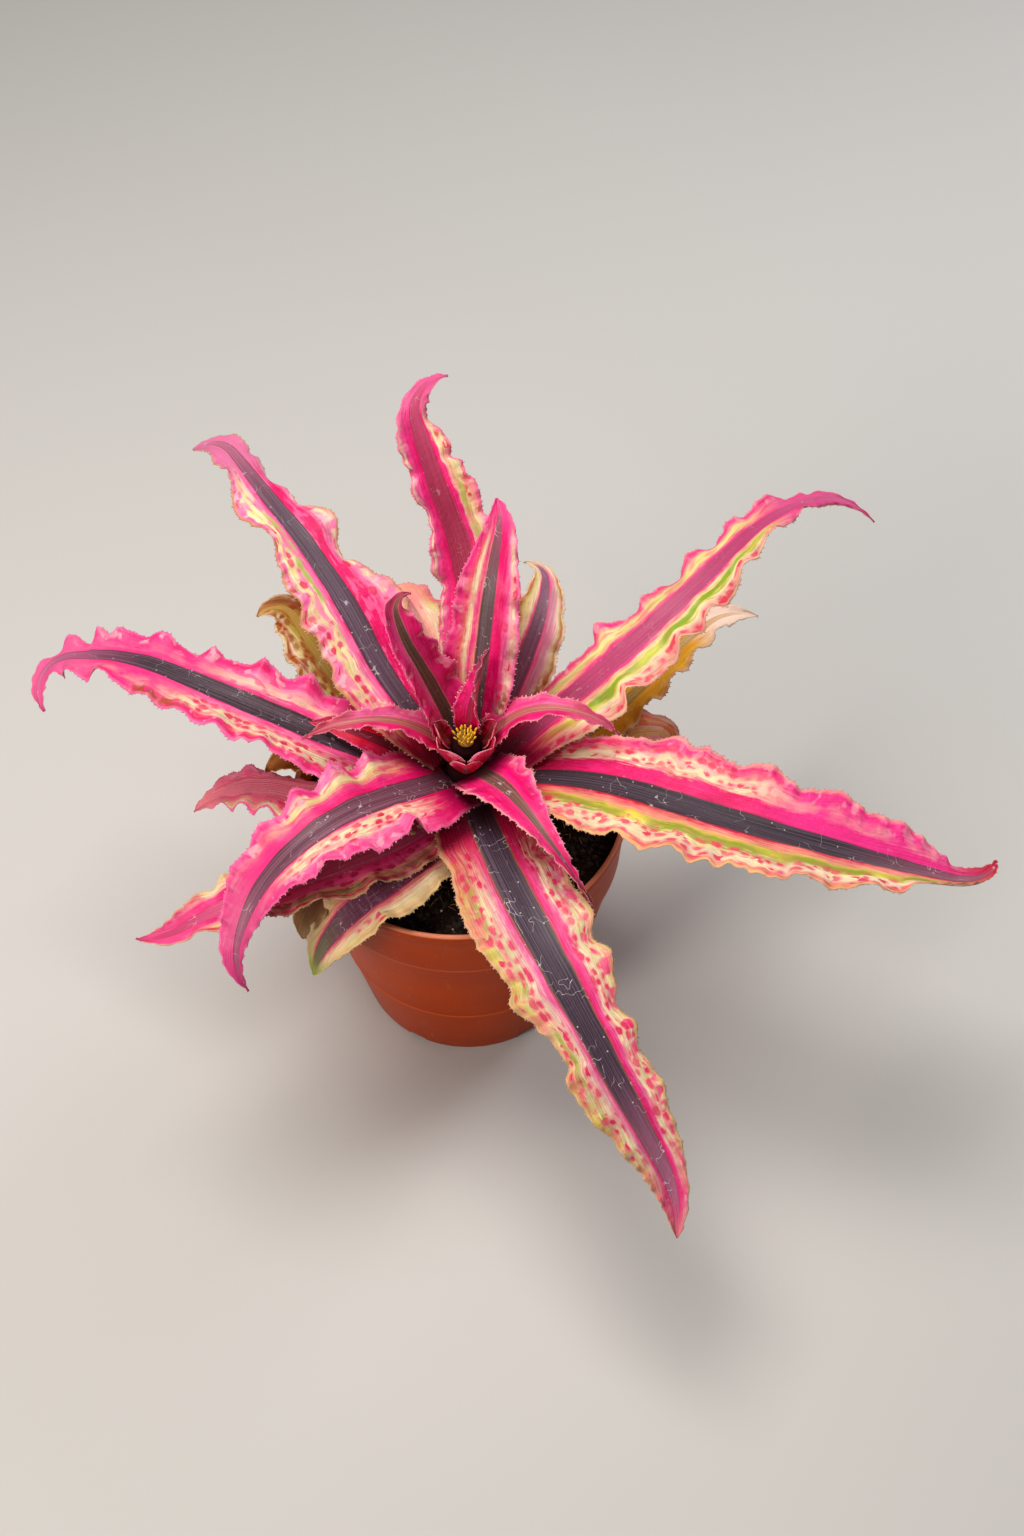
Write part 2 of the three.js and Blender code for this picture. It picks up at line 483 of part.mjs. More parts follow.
// A closed blade: upper and lower faces split into triangles alike, and a rim round them.
// "grow" makes it larger all round, for the clearance cut out of older leaves.
function leafGeometry(leaf, grow = 0) {
  const rows = Math.max(6, Math.round(leaf.length / LEAF_ROW));
  const columns = leaf.length > LONG_LEAF ? [-1, -0.5, 0, 0.5, 1] : [-1, -0.4, 0.4, 1];
  const places = [];
  for (const frame of midrib(leaf, rows)) {
    for (const v of columns) {
      const thick = LEAF_MID_THICKNESS + (LEAF_EDGE_THICKNESS - LEAF_MID_THICKNESS) * v * v;
      const top = facePoint(leaf, frame, v, grow);
      const low = top.clone().addScaledVector(frame.up, -thick - grow);
      places.push(top.addScaledVector(frame.up, grow), low);
    }
  }
  const wide = columns.length;
  const top = (i, j) => 2 * (i * wide + j);
  const low = (i, j) => top(i, j) + 1;
  const faces = [];
  const quad = (a, b, c, d) => faces.push(a, b, c, a, c, d);
  for (let i = 0; i < rows; i += 1) {
    for (let j = 0; j < wide - 1; j += 1) {
      faces.push(top(i, j), top(i + 1, j), top(i + 1, j + 1));
      faces.push(top(i, j), top(i + 1, j + 1), top(i, j + 1));
      faces.push(low(i, j), low(i + 1, j + 1), low(i + 1, j));
      faces.push(low(i, j), low(i, j + 1), low(i + 1, j + 1));
    }
    quad(top(i, 0), low(i, 0), low(i + 1, 0), top(i + 1, 0));
    quad(top(i, wide - 1), top(i + 1, wide - 1), low(i + 1, wide - 1), low(i, wide - 1));
  }
  for (let j = 0; j < wide - 1; j += 1) {
    quad(top(0, j), top(0, j + 1), low(0, j + 1), low(0, j));
    quad(top(rows, j), low(rows, j), low(rows, j + 1), top(rows, j + 1));
  }
  const geometry = new THREE.BufferGeometry();
  geometry.setAttribute("position", new THREE.Float32BufferAttribute(
    places.flatMap((p) => [p.x, p.y, p.z]), 3));
  geometry.setIndex(faces);
  return geometry;
}

// ---------------------------------------------------------------- flower tuft

// A low dome of closely set yellow stamens, all joined at their feet.
function tuftGeometry() {
  const foot = STEM_TOP + 0.8 + CLEARANCE;
  const dome = turned([[0, foot], [TUFT_RADIUS, foot], [TUFT_RADIUS, foot + 0.6],
    [0.6 * TUFT_RADIUS, foot + 1.6], [0, foot + 2]], 12);
  dome.translate(STEM_X, STEM_Y, 0);
  let tuft = toSolid(dome);
  const random = seeded(7);
  for (let i = 0; i < STAMENS; i += 1) {
    const share = Math.sqrt((i + 0.5) / STAMENS);
    const turn = i * 2.39996;
    const lean = rad(8 + 30 * share + 8 * random());
    const length = STAMEN_LENGTH * (0.8 + 0.35 * random());
    const rod = new THREE.CylinderGeometry(0.28, 0.42, length, 4);
    rod.rotateX(Math.PI / 2);
    rod.translate(0, 0, length / 2);
    rod.rotateY(lean);
    rod.rotateZ(turn);
    const r = 0.72 * TUFT_RADIUS * share;
    rod.translate(STEM_X + r * Math.cos(turn), STEM_Y + r * Math.sin(turn), foot + 0.3);
    tuft = tuft.add(toSolid(rod));
  }
  return toGeometry(tuft);
}

// ---------------------------------------------------------------- the plant, put together

const group = new THREE.Group();

function addPiece(name, geometry, material) {
  const mesh = new THREE.Mesh(geometry, material);
  mesh.name = name;
  group.add(mesh);
}

addPiece("pot", potGeometry(), finish(COLOUR.pot, 0.38));
addPiece("soil", soilGeometry(), finish(COLOUR.soil, 0.95));
addPiece("stem", stemGeometry(), finish(COLOUR.stem, 0.7));
addPiece("flower_tuft", tuftGeometry(), finish(COLOUR.tuft, 0.6));

// Younger leaves stand higher on the stem. Where an older leaf would meet a younger one,
// it is cut clear of it, so the blades lie close without touching.
const byAge = [...bractSpecs(), ...BIG, ...SMALL].sort((a, b) => b.root - a.root);
const swollen = [];

function boxesMeet(a, b) {
  const [p, q] = [a.boundingBox(), b.boundingBox()];
  return [0, 1, 2].every((k) => p.min[k] < q.max[k] && q.min[k] < p.max[k]);
}

for (const leaf of byAge) {
  let blade = toSolid(leafGeometry(leaf));
  for (const younger of swollen) {
    if (boxesMeet(blade, younger)) {
      blade = blade.subtract(younger);
    }
  }
  swollen.push(toSolid(leafGeometry(leaf, CLEARANCE)));
  addPiece(leaf.name, toGeometry(largestBody(blade)), finish(COLOUR[leaf.kind], 0.45));
}

export default group;
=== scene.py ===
# Earth star bromeliad in a plastic nursery pot. Sizes are in millimetres until a mesh is made.
# +Z is up, the origin is the middle of the pot's underside, and -Y is the front.
import math
from types import SimpleNamespace

import bpy
import numpy as np
from mathutils import Matrix


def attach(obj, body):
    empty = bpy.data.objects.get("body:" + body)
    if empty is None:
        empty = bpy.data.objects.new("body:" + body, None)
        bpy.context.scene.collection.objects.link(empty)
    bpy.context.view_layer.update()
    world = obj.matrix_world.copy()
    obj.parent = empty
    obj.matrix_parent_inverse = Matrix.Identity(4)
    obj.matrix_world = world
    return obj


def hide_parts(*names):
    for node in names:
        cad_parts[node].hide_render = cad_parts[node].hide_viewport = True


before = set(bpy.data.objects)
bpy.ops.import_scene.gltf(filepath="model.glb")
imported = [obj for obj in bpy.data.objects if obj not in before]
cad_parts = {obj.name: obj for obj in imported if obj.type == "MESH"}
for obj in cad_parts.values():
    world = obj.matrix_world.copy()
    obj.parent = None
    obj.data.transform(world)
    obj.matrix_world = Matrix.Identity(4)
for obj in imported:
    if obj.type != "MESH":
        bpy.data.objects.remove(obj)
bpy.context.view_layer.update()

# ---------------------------------------------------------------- camera, floor and light
# The camera looks down at the plant from the front, 53 degrees above the table. The plant
# stands on a plain pale floor, in soft light from large lamps above it.

MM = 0.001
CAMERA_RISE = math.radians(53)
CAMERA_ROLL = math.radians(-1.8)
CAMERA_PLACE = (16.4, -391.4, 626.6)
FLOOR_SIDE = 6000
LAMP_AIM = (0, 0, 100)
LAMPS = [
    # name, place, side in millimetres, power in watts, colour
    ("overhead", (-160, 120, 900), 420, 6.6, "fffaf4"),
    ("front_left", (-620, -560, 560), 320, 4.2, "fff6ee"),
    ("back_right", (620, 520, 480), 320, 2.4, "f6f8ff"),
]


def placed(thing, name):
    """An object that holds a mesh, lamp or camera, in the scene."""
    made = bpy.data.objects.new(name, thing)
    bpy.context.scene.collection.objects.link(made)
    return made


def shifted(place):
    """The matrix of a move to a place in millimetres."""
    return Matrix.Translation([c * MM for c in place])


camera_data = bpy.data.cameras.new("camera")
camera_data.lens = 50
camera_data.sensor_width = 36
camera_data.clip_start = 0.01
camera = placed(camera_data, "camera")
camera.matrix_world = (shifted(CAMERA_PLACE) @ Matrix.Rotation(math.pi / 2 - CAMERA_RISE, 4, "X")
                       @ Matrix.Rotation(CAMERA_ROLL, 4, "Z"))
bpy.context.scene.camera = camera
bpy.context.scene.view_settings.view_transform = "Standard"


def srgb(code):
    """Linear red, green, blue and alpha of a colour written as six hex digits."""
    parts = [int(code[i:i + 2], 16) / 255 for i in (0, 2, 4)]
    return [c / 12.92 if c <= 0.04045 else ((c + 0.055) / 1.055) ** 2.4 for c in parts] + [1]


class Link:
    """A value inside the open shader tree. Arithmetic on it adds Math nodes."""

    def __init__(self, socket):
        self.socket = socket

    def __add__(self, other):
        return calc("ADD", self, other)

    def __sub__(self, other):
        return calc("SUBTRACT", self, other)

    def __mul__(self, other):
        return calc("MULTIPLY", self, other)

    def __lt__(self, other):
        return calc("LESS_THAN", self, other)

    def __gt__(self, other):
        return calc("GREATER_THAN", self, other)

    def __abs__(self):
        return calc("ABSOLUTE", self)


def put(value, socket):
    """Sets an input to a link, a colour in hex digits, or a plain number or place."""
    if isinstance(value, Link):
        tree.links.new(value.socket, socket)
    else:
        socket.default_value = srgb(value) if isinstance(value, str) else value


def wire(kind, *inputs, **settings):
    """Adds a node to the open tree and gives its outputs. Each input is (socket, value)."""
    made = tree.nodes.new(kind)
    for key, value in settings.items():
        setattr(made, key, value)
    for key, value in inputs:
        put(value, made.inputs[key])
    return [Link(socket) for socket in made.outputs]


def feed(made, **values):
    """Sets inputs of a node by name, with _ for each space."""
    for key, value in values.items():
        put(value, made.inputs[key.replace("_", " ")])


def vector(operation, a, b):
    """One step of arithmetic on two places."""
    return wire("ShaderNodeVectorMath", (0, a), (1, b), operation=operation)[0]


def blend(share, a, b, way="MIX"):
    """Colour a turned towards colour b by the share."""
    return wire("ShaderNodeMix", (0, share), (6, a), (7, b), data_type="RGBA", blend_type=way)[2]


def grain(place, stretch, detail=2.0):
    """Noise from 0 to 1 at that place, with the place first multiplied by stretch."""
    stretch = stretch if isinstance(stretch, tuple) else (stretch, stretch, stretch)
    return wire("ShaderNodeTexNoise", ("Vector", vector("MULTIPLY", place, stretch)),
                ("Scale", 1.0), ("Detail", detail), ("Roughness", 0.5))[0]


def object_place():
    """The place on the piece, in metres."""
    return Link(tree.nodes.new("ShaderNodeTexCoord").outputs["Object"])


def surface(name, **values):
    """Opens a new material with these values on its Principled shader. Gives both."""
    global tree
    material = bpy.data.materials.new(name)
    material.use_nodes = True
    tree = material.node_tree
    shader = tree.nodes["Principled BSDF"]
    feed(shader, **values)
    return material, shader


def mesh_piece(name, places, quads, triangles=(), fields=None, smooth=True):
    """An object from millimetre places, rows of four and of three corners, and named fields."""
    quads = np.asarray(quads, int).reshape(-1, 4)
    triangles = np.asarray(triangles, int).reshape(-1, 3)
    mesh = bpy.data.meshes.new(name)
    mesh.vertices.add(len(places))
    mesh.vertices.foreach_set("co", (np.asarray(places) * MM).astype(np.float32).ravel())
    corners = np.concatenate([quads.ravel(), triangles.ravel()]).astype(np.int32)
    mesh.loops.add(len(corners))
    mesh.loops.foreach_set("vertex_index", corners)
    starts = np.concatenate([4 * np.arange(len(quads)),
                             quads.size + 3 * np.arange(len(triangles))]).astype(np.int32)
    mesh.polygons.add(len(starts))
    mesh.polygons.foreach_set("loop_start", starts)
    mesh.polygons.foreach_set("use_smooth", np.full(len(starts), smooth))
    for key, values in (fields or {}).items():
        field = mesh.attributes.new(key, "FLOAT_VECTOR", "POINT")
        field.data.foreach_set("vector", np.asarray(values, np.float32).ravel())
    mesh.update(calc_edges=True)
    mesh.validate()
    return placed(mesh, name)


half = FLOOR_SIDE / 2
floor = mesh_piece("floor", [(-half, -half, 0), (half, -half, 0), (half, half, 0),
                             (-half, half, 0)], [(0, 1, 2, 3)])
pale, shader = surface("floor", Roughness=0.7)
feed(shader, Base_Color=blend(grain(object_place(), 3), "c6c4c0", "cbc9c5"))
floor.data.materials.append(pale)

for name, place, side, power, colour in LAMPS:
    lamp_data = bpy.data.lights.new(name, "AREA")
    lamp_data.size = side * MM
    lamp_data.energy = power
    lamp_data.color = srgb(colour)[:3]
    away = shifted(place)
    aim = away.translation - shifted(LAMP_AIM).translation
    placed(lamp_data, name).matrix_world = away @ aim.to_track_quat("Z", "Y").to_matrix().to_4x4()

world = bpy.data.worlds.new("studio")
bpy.context.scene.world = world
world.use_nodes = True
feed(world.node_tree.nodes["Background"], Color="eef0f2", Strength=0.16)

# ---------------------------------------------------------------- pot
# A thin nursery pot of orange-brown plastic, moulded in one piece. Its lip is rolled, a collar
# stiffens it below the lip, and six holes in the floor and six notches in the foot drain it.

RIM_RADIUS = 52.5
POT_HEIGHT = 94
FOOT_RADIUS = 34.8
FOOT_ROUND = 1.4
WALL = 1.4
WALL_FOOT = 1.6
WALL_LOW_RADIUS = 36
WALL_HIGH_RADIUS = 49.5
FLOOR = 1.8
RING_HEIGHT = 30
RING_ROUND = 0.42
COLLAR_HEIGHT = 71
COLLAR_BEND = 84
LIP_HEIGHT = 3.2
LIP_ROUND = 0.9
DRAIN_RADIUS = 4.5
DRAIN_CIRCLE = 22
NOTCH_WIDTH = 6
NOTCH_DEPTH = 2.2
NOTCH_REACH = 10
POT_SIDES = 240
POT_PAINTED_LIGHT = [
    # height on the wall, and the painted shade or painted highlight beside it
    (COLLAR_HEIGHT - 0.5, "5c1800"),
    (COLLAR_HEIGHT + 0.9, "d8683a"),
    (RING_HEIGHT - 0.7, "5c1800"),
    (RING_HEIGHT + 0.4, "d8683a"),
    (POT_HEIGHT - 0.2, "f6a884"),
]


def wall_radius(z):
    """Outside radius of the wall below the collar: a straight taper."""
    gain = WALL_HIGH_RADIUS - WALL_LOW_RADIUS
    return WALL_LOW_RADIUS + gain * (z - WALL_FOOT) / (COLLAR_HEIGHT - WALL_FOOT)


def inner_radius(z):
    """Inside radius: the wall's taper less its thickness, a little steeper in the collar."""
    return wall_radius(min(z, COLLAR_HEIGHT)) - WALL + max(0, z - COLLAR_HEIGHT) * 0.06


def arc(r, z, radius, first, last, steps=5):
    """Points of a round corner about (r, z), from the first angle to the last, in degrees."""
    turn = np.radians(np.linspace(first, last, steps))
    return [(r + radius * math.cos(t), z + radius * math.sin(t)) for t in turn]


def tube_faces(rings, sides):
    """Rows of four corners that join each ring of corners to the next, all the way round."""
    i, j = np.meshgrid(np.arange(rings - 1), np.arange(sides), indexing="ij")
    k = (j + 1) % sides
    return np.stack([i * sides + j, i * sides + k, (i + 1) * sides + k, (i + 1) * sides + j],
                    -1).reshape(-1, 4)


def spun(profile, sides):
    """A profile of (radius, height) points turned about the pot's axis, closed on the axis.
    Place = (radius cos turn, radius sin turn, height). The first and last points lie on it."""
    r, z = np.array(profile[1:-1]).T
    turn = np.linspace(0, 2 * math.pi, sides, endpoint=False)
    ring = np.stack([r[:, None] * np.cos(turn), r[:, None] * np.sin(turn),
                     np.repeat(z[:, None], sides, 1)], -1).reshape(-1, 3)
    places = np.vstack([ring, [[0, 0, profile[0][1]], [0, 0, profile[-1][1]]]])
    edge = np.arange(sides)
    after = (edge + 1) % sides
    last = (len(r) - 1) * sides
    caps = np.vstack([np.stack([after, edge, np.full(sides, len(ring))], -1),
                      np.stack([last + edge, last + after, np.full(sides, len(ring) + 1)], -1)])
    return places, tube_faces(len(r), sides), caps


lip_foot = POT_HEIGHT - LIP_HEIGHT
ring_radius = wall_radius(RING_HEIGHT)
pot_profile = (
    [(0, 0), (FOOT_RADIUS, 0), *arc(FOOT_RADIUS, FOOT_ROUND, FOOT_ROUND, -90, -8)]
    + [(wall_radius(RING_HEIGHT - 1), RING_HEIGHT - 1), (ring_radius - 0.1, RING_HEIGHT - 0.5)]
    + arc(ring_radius - 0.05, RING_HEIGHT, RING_ROUND, -60, 60)
    + [(wall_radius(RING_HEIGHT + 1), RING_HEIGHT + 1)]
    + [(WALL_HIGH_RADIUS - 0.1, COLLAR_HEIGHT - 0.6), (WALL_HIGH_RADIUS, COLLAR_HEIGHT)]
    + arc(WALL_HIGH_RADIUS + 0.4, COLLAR_HEIGHT + 0.5, 0.4, -60, 0)
    + [(RIM_RADIUS - 1.3, COLLAR_BEND), (RIM_RADIUS - 1, lip_foot - 0.9)]
    + arc(RIM_RADIUS - 0.5, lip_foot + 0.2, 0.4, -80, -20)
    + [(RIM_RADIUS, lip_foot + 1)]
    + arc(RIM_RADIUS - LIP_ROUND, POT_HEIGHT - LIP_ROUND, LIP_ROUND, 0, 180, 11)
    + [(RIM_RADIUS - 1.85, POT_HEIGHT - 2.2), (inner_radius(COLLAR_HEIGHT + 1), COLLAR_HEIGHT + 1)]
    + [(inner_radius(z), z) for z in (COLLAR_HEIGHT - 0.5, 50, RING_HEIGHT, 15, 3)]
    + [(inner_radius(FLOOR) - 0.8, FLOOR), (0, FLOOR)]
)


def cutter(name, heading, reach, size, sides):
    """A plain bar, round or square, that drills or notches the pot and is then removed. It
    stands at that heading and reach, from 2 mm below the foot."""
    heading = math.radians(heading)
    turn = np.linspace(0, 2 * math.pi, sides, endpoint=False) + math.pi / sides
    flat = np.stack([size[0] * np.cos(turn), size[1] * np.sin(turn)], -1)
    flat = flat @ np.array([[math.cos(heading), math.sin(heading)],
                            [-math.sin(heading), math.cos(heading)]])
    middle = [reach * math.cos(heading), reach * math.sin(heading)]
    low = np.column_stack([flat + middle, np.full(sides, -2)])
    first, inner = np.zeros(sides - 2, int), np.arange(1, sides - 1)
    caps = np.vstack([np.stack([first, inner + 1, inner], -1),
                      np.stack([first, inner, inner + 1], -1) + sides])
    return mesh_piece(name, np.vstack([low, low + [0, 0, size[2]]]), tube_faces(2, sides), caps,
                      smooth=False)


pot_raw = mesh_piece("pot_raw", *spun(pot_profile, POT_SIDES))
corner = math.sqrt(0.5)
notch = (NOTCH_REACH * corner, NOTCH_WIDTH * corner, 2 + NOTCH_DEPTH)
cutters = []
for i in range(6):
    cutters.append(cutter(f"drill_{i}", 60 * i + 30, DRAIN_CIRCLE,
                          (DRAIN_RADIUS, DRAIN_RADIUS, 6), 32))
    cutters.append(cutter(f"notch_{i}", 60 * i, FOOT_RADIUS + 3, notch, 4))
for tool in cutters:
    cut = pot_raw.modifiers.new(tool.name, "BOOLEAN")
    cut.operation = "DIFFERENCE"
    cut.solver = "EXACT"
    cut.object = tool
bpy.context.view_layer.update()
pot_mesh = bpy.data.meshes.new_from_object(
    pot_raw.evaluated_get(bpy.context.evaluated_depsgraph_get()))
pot_mesh.set_sharp_from_angle(angle=math.radians(45))
pot = placed(pot_mesh, "nursery_pot")
for spare in [pot_raw, *cutters]:
    bpy.data.objects.remove(spare)


def calc(operation, *values):
    """One step of arithmetic on one or two numbers."""
    return wire("ShaderNodeMath", *enumerate(values), operation=operation)[0]


def span(value, low, high, start=0.0, stop=1.0, way="LINEAR"):
    """The value's range from start to stop carried to low to high, and held beyond it."""
    return wire("ShaderNodeMapRange", (0, value), (1, start), (2, stop), (3, low), (4, high),
                interpolation_type=way)[0]


def ease(value, start, stop):
    """0 at start and 1 at stop, with a smooth rise between them. start may be above stop."""
    return span(value, 0.0, 1.0, start, stop, "SMOOTHSTEP")


def raised(shader, height, distance):
    """Bumps the shader's normal by a height from 0 to 1, times the distance in metres."""
    feed(shader, Normal=wire("ShaderNodeBump", ("Height", height), ("Distance", distance))[0])


# Colour drifts from orange to brown, with pale scuffs and specks. Just below the collar and the
# ring it is darkened by painted shade, and painted highlights make their upper edges and the lip
# paler.
plastic, shader = surface("pot_plastic", Coat_Roughness=0.2, Specular_IOR_Level=0.04)
place = object_place()
cloud = grain(place, (28, 28, 40), 4)
scuffs = ease(grain(place, (420, 420, 60), 3), 0.66, 0.76)
specks = ease(grain(place, 900, 1), 0.74, 0.8)
colour = blend(cloud, "902900", "bc4200")
colour = blend(calc("MAXIMUM", scuffs * 0.22, specks * 0.55), colour, "dd8a58")
height = wire("ShaderNodeSeparateXYZ", (0, place))[2]
# Painted shade just below the collar and the ring, and painted highlights above them and on the
# lip.
for painted_light_height, tint in POT_PAINTED_LIGHT:
    colour = blend(ease(abs(height - painted_light_height * MM), 0.6 * MM, 0.1 * MM) * 0.5, colour, tint)
feed(shader, Base_Color=colour, Roughness=span(cloud, 0.3, 0.46),
     Coat_Weight=span(scuffs, 0.1, 0.0))
raised(shader, grain(place, 260, 3), 0.00008)
pot.data.materials.clear()
pot.data.materials.append(plastic)
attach(pot, "root")
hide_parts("pot")

# ---------------------------------------------------------------- soil
# Dark peat fills the pot to 9 mm below the lip. Its top is crumbly, and bark chips, golden
# fibres and a few white grains lie in it.

SOIL_TOP = 85.4
SOIL_RISE = 2.8
SOIL_GAP = 0.35
SOIL_SIDES = 260
STEM_X = 3
STEM_Y = -3
LATTICE = 64


def smooth(x):
    """Eased rise from 0 to 1."""
    t = np.clip(x, 0, 1)
    return t * t * (3 - 2 * t)


def lumps(x, y, size, seed):
    """Smooth random heights from 0 to 1 on a lattice of that size, eased between its points."""
    lattice = np.random.default_rng(seed).random((LATTICE, LATTICE))
    i, j = np.floor(x / size).astype(int), np.floor(y / size).astype(int)
    s, t = smooth(x / size - i), smooth(y / size - j)
    low, high = (lattice[i % LATTICE, k % LATTICE] * (1 - s)
                 + lattice[(i + 1) % LATTICE, k % LATTICE] * s for k in (j, j + 1))
    return low * (1 - t) + high * t


def soil_height(x, y):
    """Top of the soil: a low rise to the stem, with lumps of 9, 3.5 and 1.3 mm on it."""
    rise = SOIL_RISE * np.clip(1 - np.hypot(x, y) / 50, 0, 1)
    return (SOIL_TOP - 0.6 + rise + 1.3 * lumps(x, y, 9, 11) + 0.9 * lumps(x, y, 3.5, 12)
            + 0.5 * lumps(x, y, 1.3, 13))


soil_edge = inner_radius(SOIL_TOP) - SOIL_GAP
soil_profile = ([(0, FLOOR + 0.4), (inner_radius(3) - 1.2, FLOOR + 0.4)]
                + [(inner_radius(z) - SOIL_GAP, z) for z in (4, 30, 60, COLLAR_HEIGHT, 80)]
                + [(r, SOIL_TOP) for r in np.linspace(soil_edge, 0.6, 100)] + [(0, SOIL_TOP)])
soil_places, soil_quads, soil_caps = spun(soil_profile, SOIL_SIDES)
on_top = soil_places[:, 2] > SOIL_TOP - 0.01
soil_places[on_top, 2] = soil_height(*soil_places[on_top, :2].T)
soil = mesh_piece("peat_soil", soil_places, soil_quads, soil_caps)

peat, shader = surface("peat", Roughness=0.95, Specular_IOR_Level=0.1)
place = object_place()
flecks = ease(grain(place, 1500), 0.66, 0.72)
colour = blend(grain(place, 700, 4), "0e0a08", "2e2119")
feed(shader, Base_Color=blend(flecks * 0.5, colour, "8a5a2c"))
raised(shader, grain(place, 1200, 4), 0.0006)
soil.data.materials.append(peat)
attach(soil, "root")
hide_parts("soil")


def scattered(count, rng, keep_out=10):
    """Random places on the soil, even over its area and clear of the stem."""
    r = soil_edge * np.sqrt(rng.random(4 * count)) * 0.985
    turn = rng.random(4 * count) * 2 * math.pi
    x, y = r * np.cos(turn), r * np.sin(turn)
    clear = np.hypot(x - STEM_X, y - STEM_Y) > keep_out
    return x[clear][:count], y[clear][:count]


CHIP = np.array([(1, 0, 0), (-1, 0, 0), (0, 1, 0), (0, -1, 0), (0, 0, 1), (0, 0, -1)], float)
CHIP_FACES = np.array([(0, 2, 4), (2, 1, 4), (1, 3, 4), (3, 0, 4), (2, 0, 5), (1, 2, 5),
                       (3, 1, 5), (0, 3, 5)])


def chips(name, count, low, high, seed):
    """Small eight-sided chips in the soil: corner = place + turn (size x uneven octahedron)."""
    rng = np.random.default_rng(seed)
    x, y = scattered(count, rng)
    size = low + (high - low) * rng.random(count) ** 2
    shape = CHIP * size[:, None, None] * rng.uniform(0.45, 1.2, (count, 6, 1))
    turns, _ = np.linalg.qr(rng.normal(size=(count, 3, 3)))
    turns *= np.sign(np.linalg.det(turns))[:, None, None]
    shape = np.einsum("nij,nkj->nki", turns, shape)
    centre = np.stack([x, y, soil_height(x, y) + 0.15 * size], -1)
    faces = CHIP_FACES + 6 * np.arange(count)[:, None, None]
    return mesh_piece(name, (shape + centre[:, None]).reshape(-1, 3), [], faces, smooth=False)


def fibres(name, count, seed, steps=6):
    """Thin curved fibres: a ring of three corners carried along a bent, random line."""
    rng = np.random.default_rng(seed)
    x, y = scattered(count, rng)
    heading = rng.random(count) * 2 * math.pi
    bend = rng.normal(0, 0.5, count)
    length = rng.uniform(2, 7, count)[:, None]
    t = np.linspace(0, 1, steps)
    turn = heading[:, None] + bend[:, None] * t
    px = x[:, None] + np.cumsum(np.cos(turn), 1) * length / steps
    py = y[:, None] + np.cumsum(np.sin(turn), 1) * length / steps
    inside = np.hypot(px, py).max(1) < soil_edge - 0.5
    px, py, turn = px[inside], py[inside], turn[inside, :, None]
    pz = soil_height(px, py) + 0.12 + 0.5 * np.sin(math.pi * t) * rng.random((len(px), 1))
    thick = (0.1 + 0.12 * rng.random((len(px), 1))) * (1 - 0.7 * np.abs(2 * t - 1) ** 3)
    corner = np.radians([90, 210, 330])
    out, up = np.cos(corner) * thick[..., None], np.sin(corner) * thick[..., None]
    rings = np.stack([px[..., None] - out * np.sin(turn), py[..., None] + out * np.cos(turn),
                      pz[..., None] + up], -1)
    base = 3 * steps * np.arange(len(px))[:, None, None]
    ends = np.array([(0, 1, 2), (3 * steps - 1, 3 * steps - 2, 3 * steps - 3)])
    return mesh_piece(name, rings.reshape(-1, 3), base + tube_faces(steps, 3)[:, ::-1],
                      base + ends)


def mottled(name, dark, light, roughness, spot, pit, depth):
    """A matt material that drifts between two colours, with a fine bump. spot and pit are the
    fineness of each, and depth is the bump's, in metres."""
    material, shader = surface(name, Roughness=roughness)
    place = object_place()
    feed(shader, Base_Color=blend(grain(place, spot), dark, light))
    raised(shader, grain(place, pit), depth)
    return material


LITTER = [
    # the piece, its two colours, roughness
    (chips("soil_crumbs", 2600, 0.35, 1.5, 21), "0d0907", "3a281b", 0.9),
    (fibres("soil_fibres", 260, 22), "6b4420", "c08a45", 0.7),
    (chips("soil_white_grains", 36, 0.35, 0.9, 23), "b9b2a4", "eee9dd", 0.8),
]
for piece, dark, light, roughness in LITTER:
    piece.data.materials.append(mottled(piece.name, dark, light, roughness, 320, 2500, 0.0001))
    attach(piece, "root")

# ---------------------------------------------------------------- stem
# The short stem stands in the soil and carries the leaves, ringed by the scars of old leaves. Its
# brown bark is darkened to near-black by painted shade, and painted a shaded dark red where the
# flower cup stands.

STEM_FOOT = 70
STEM_TOP = 124
STEM_RADII = [(STEM_FOOT, 7.6), (86, 8), (100, 8), (112, 6.5), (STEM_TOP, 4)]
SCAR_STEP = 2.7
SCAR_DEPTH = 0.16


def stem_radius(z):
    """Radius of the stem at a height, by straight lines between its sizes."""
    return np.interp(z, *zip(*STEM_RADII))


heights = np.linspace(STEM_FOOT, STEM_TOP, 109)
scars = SCAR_DEPTH * np.abs(np.sin(heights * math.pi / SCAR_STEP)) - 0.1
stem_places, stem_quads, stem_caps = spun(
    [(0, STEM_FOOT), *zip(stem_radius(heights) + scars, heights), (2.2, STEM_TOP + 0.7),
     (0, STEM_TOP + 0.8)], 64)
stem = mesh_piece("short_stem", stem_places + [STEM_X, STEM_Y, 0], stem_quads, stem_caps)
bark, shader = surface("stem_bark_and_shade", Roughness=0.8, Specular_IOR_Level=0.1)
place = object_place()
# Painted shade: near-black bark, turning near-black red from 108 to 114 mm up, below the flower
# cup.
colour = blend(grain(place, (90, 90, 500), 3), "140d0a", "2c2016")
height = wire("ShaderNodeSeparateXYZ", (0, place))[2]
feed(shader, Base_Color=blend(ease(height, 108 * MM, 114 * MM), colour, "240408"))
raised(shader, grain(place, (600, 600, 900), 3), 0.0002)
stem.data.materials.append(bark)
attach(stem, "root")
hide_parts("stem")

# ---------------------------------------------------------------- leaves: form
# Each leaf is one blade, thick at the midrib and thin at its waved margins, which carry small
# hooked teeth. It clasps the stem at its foot, and older leaves stand lower and lie flatter.

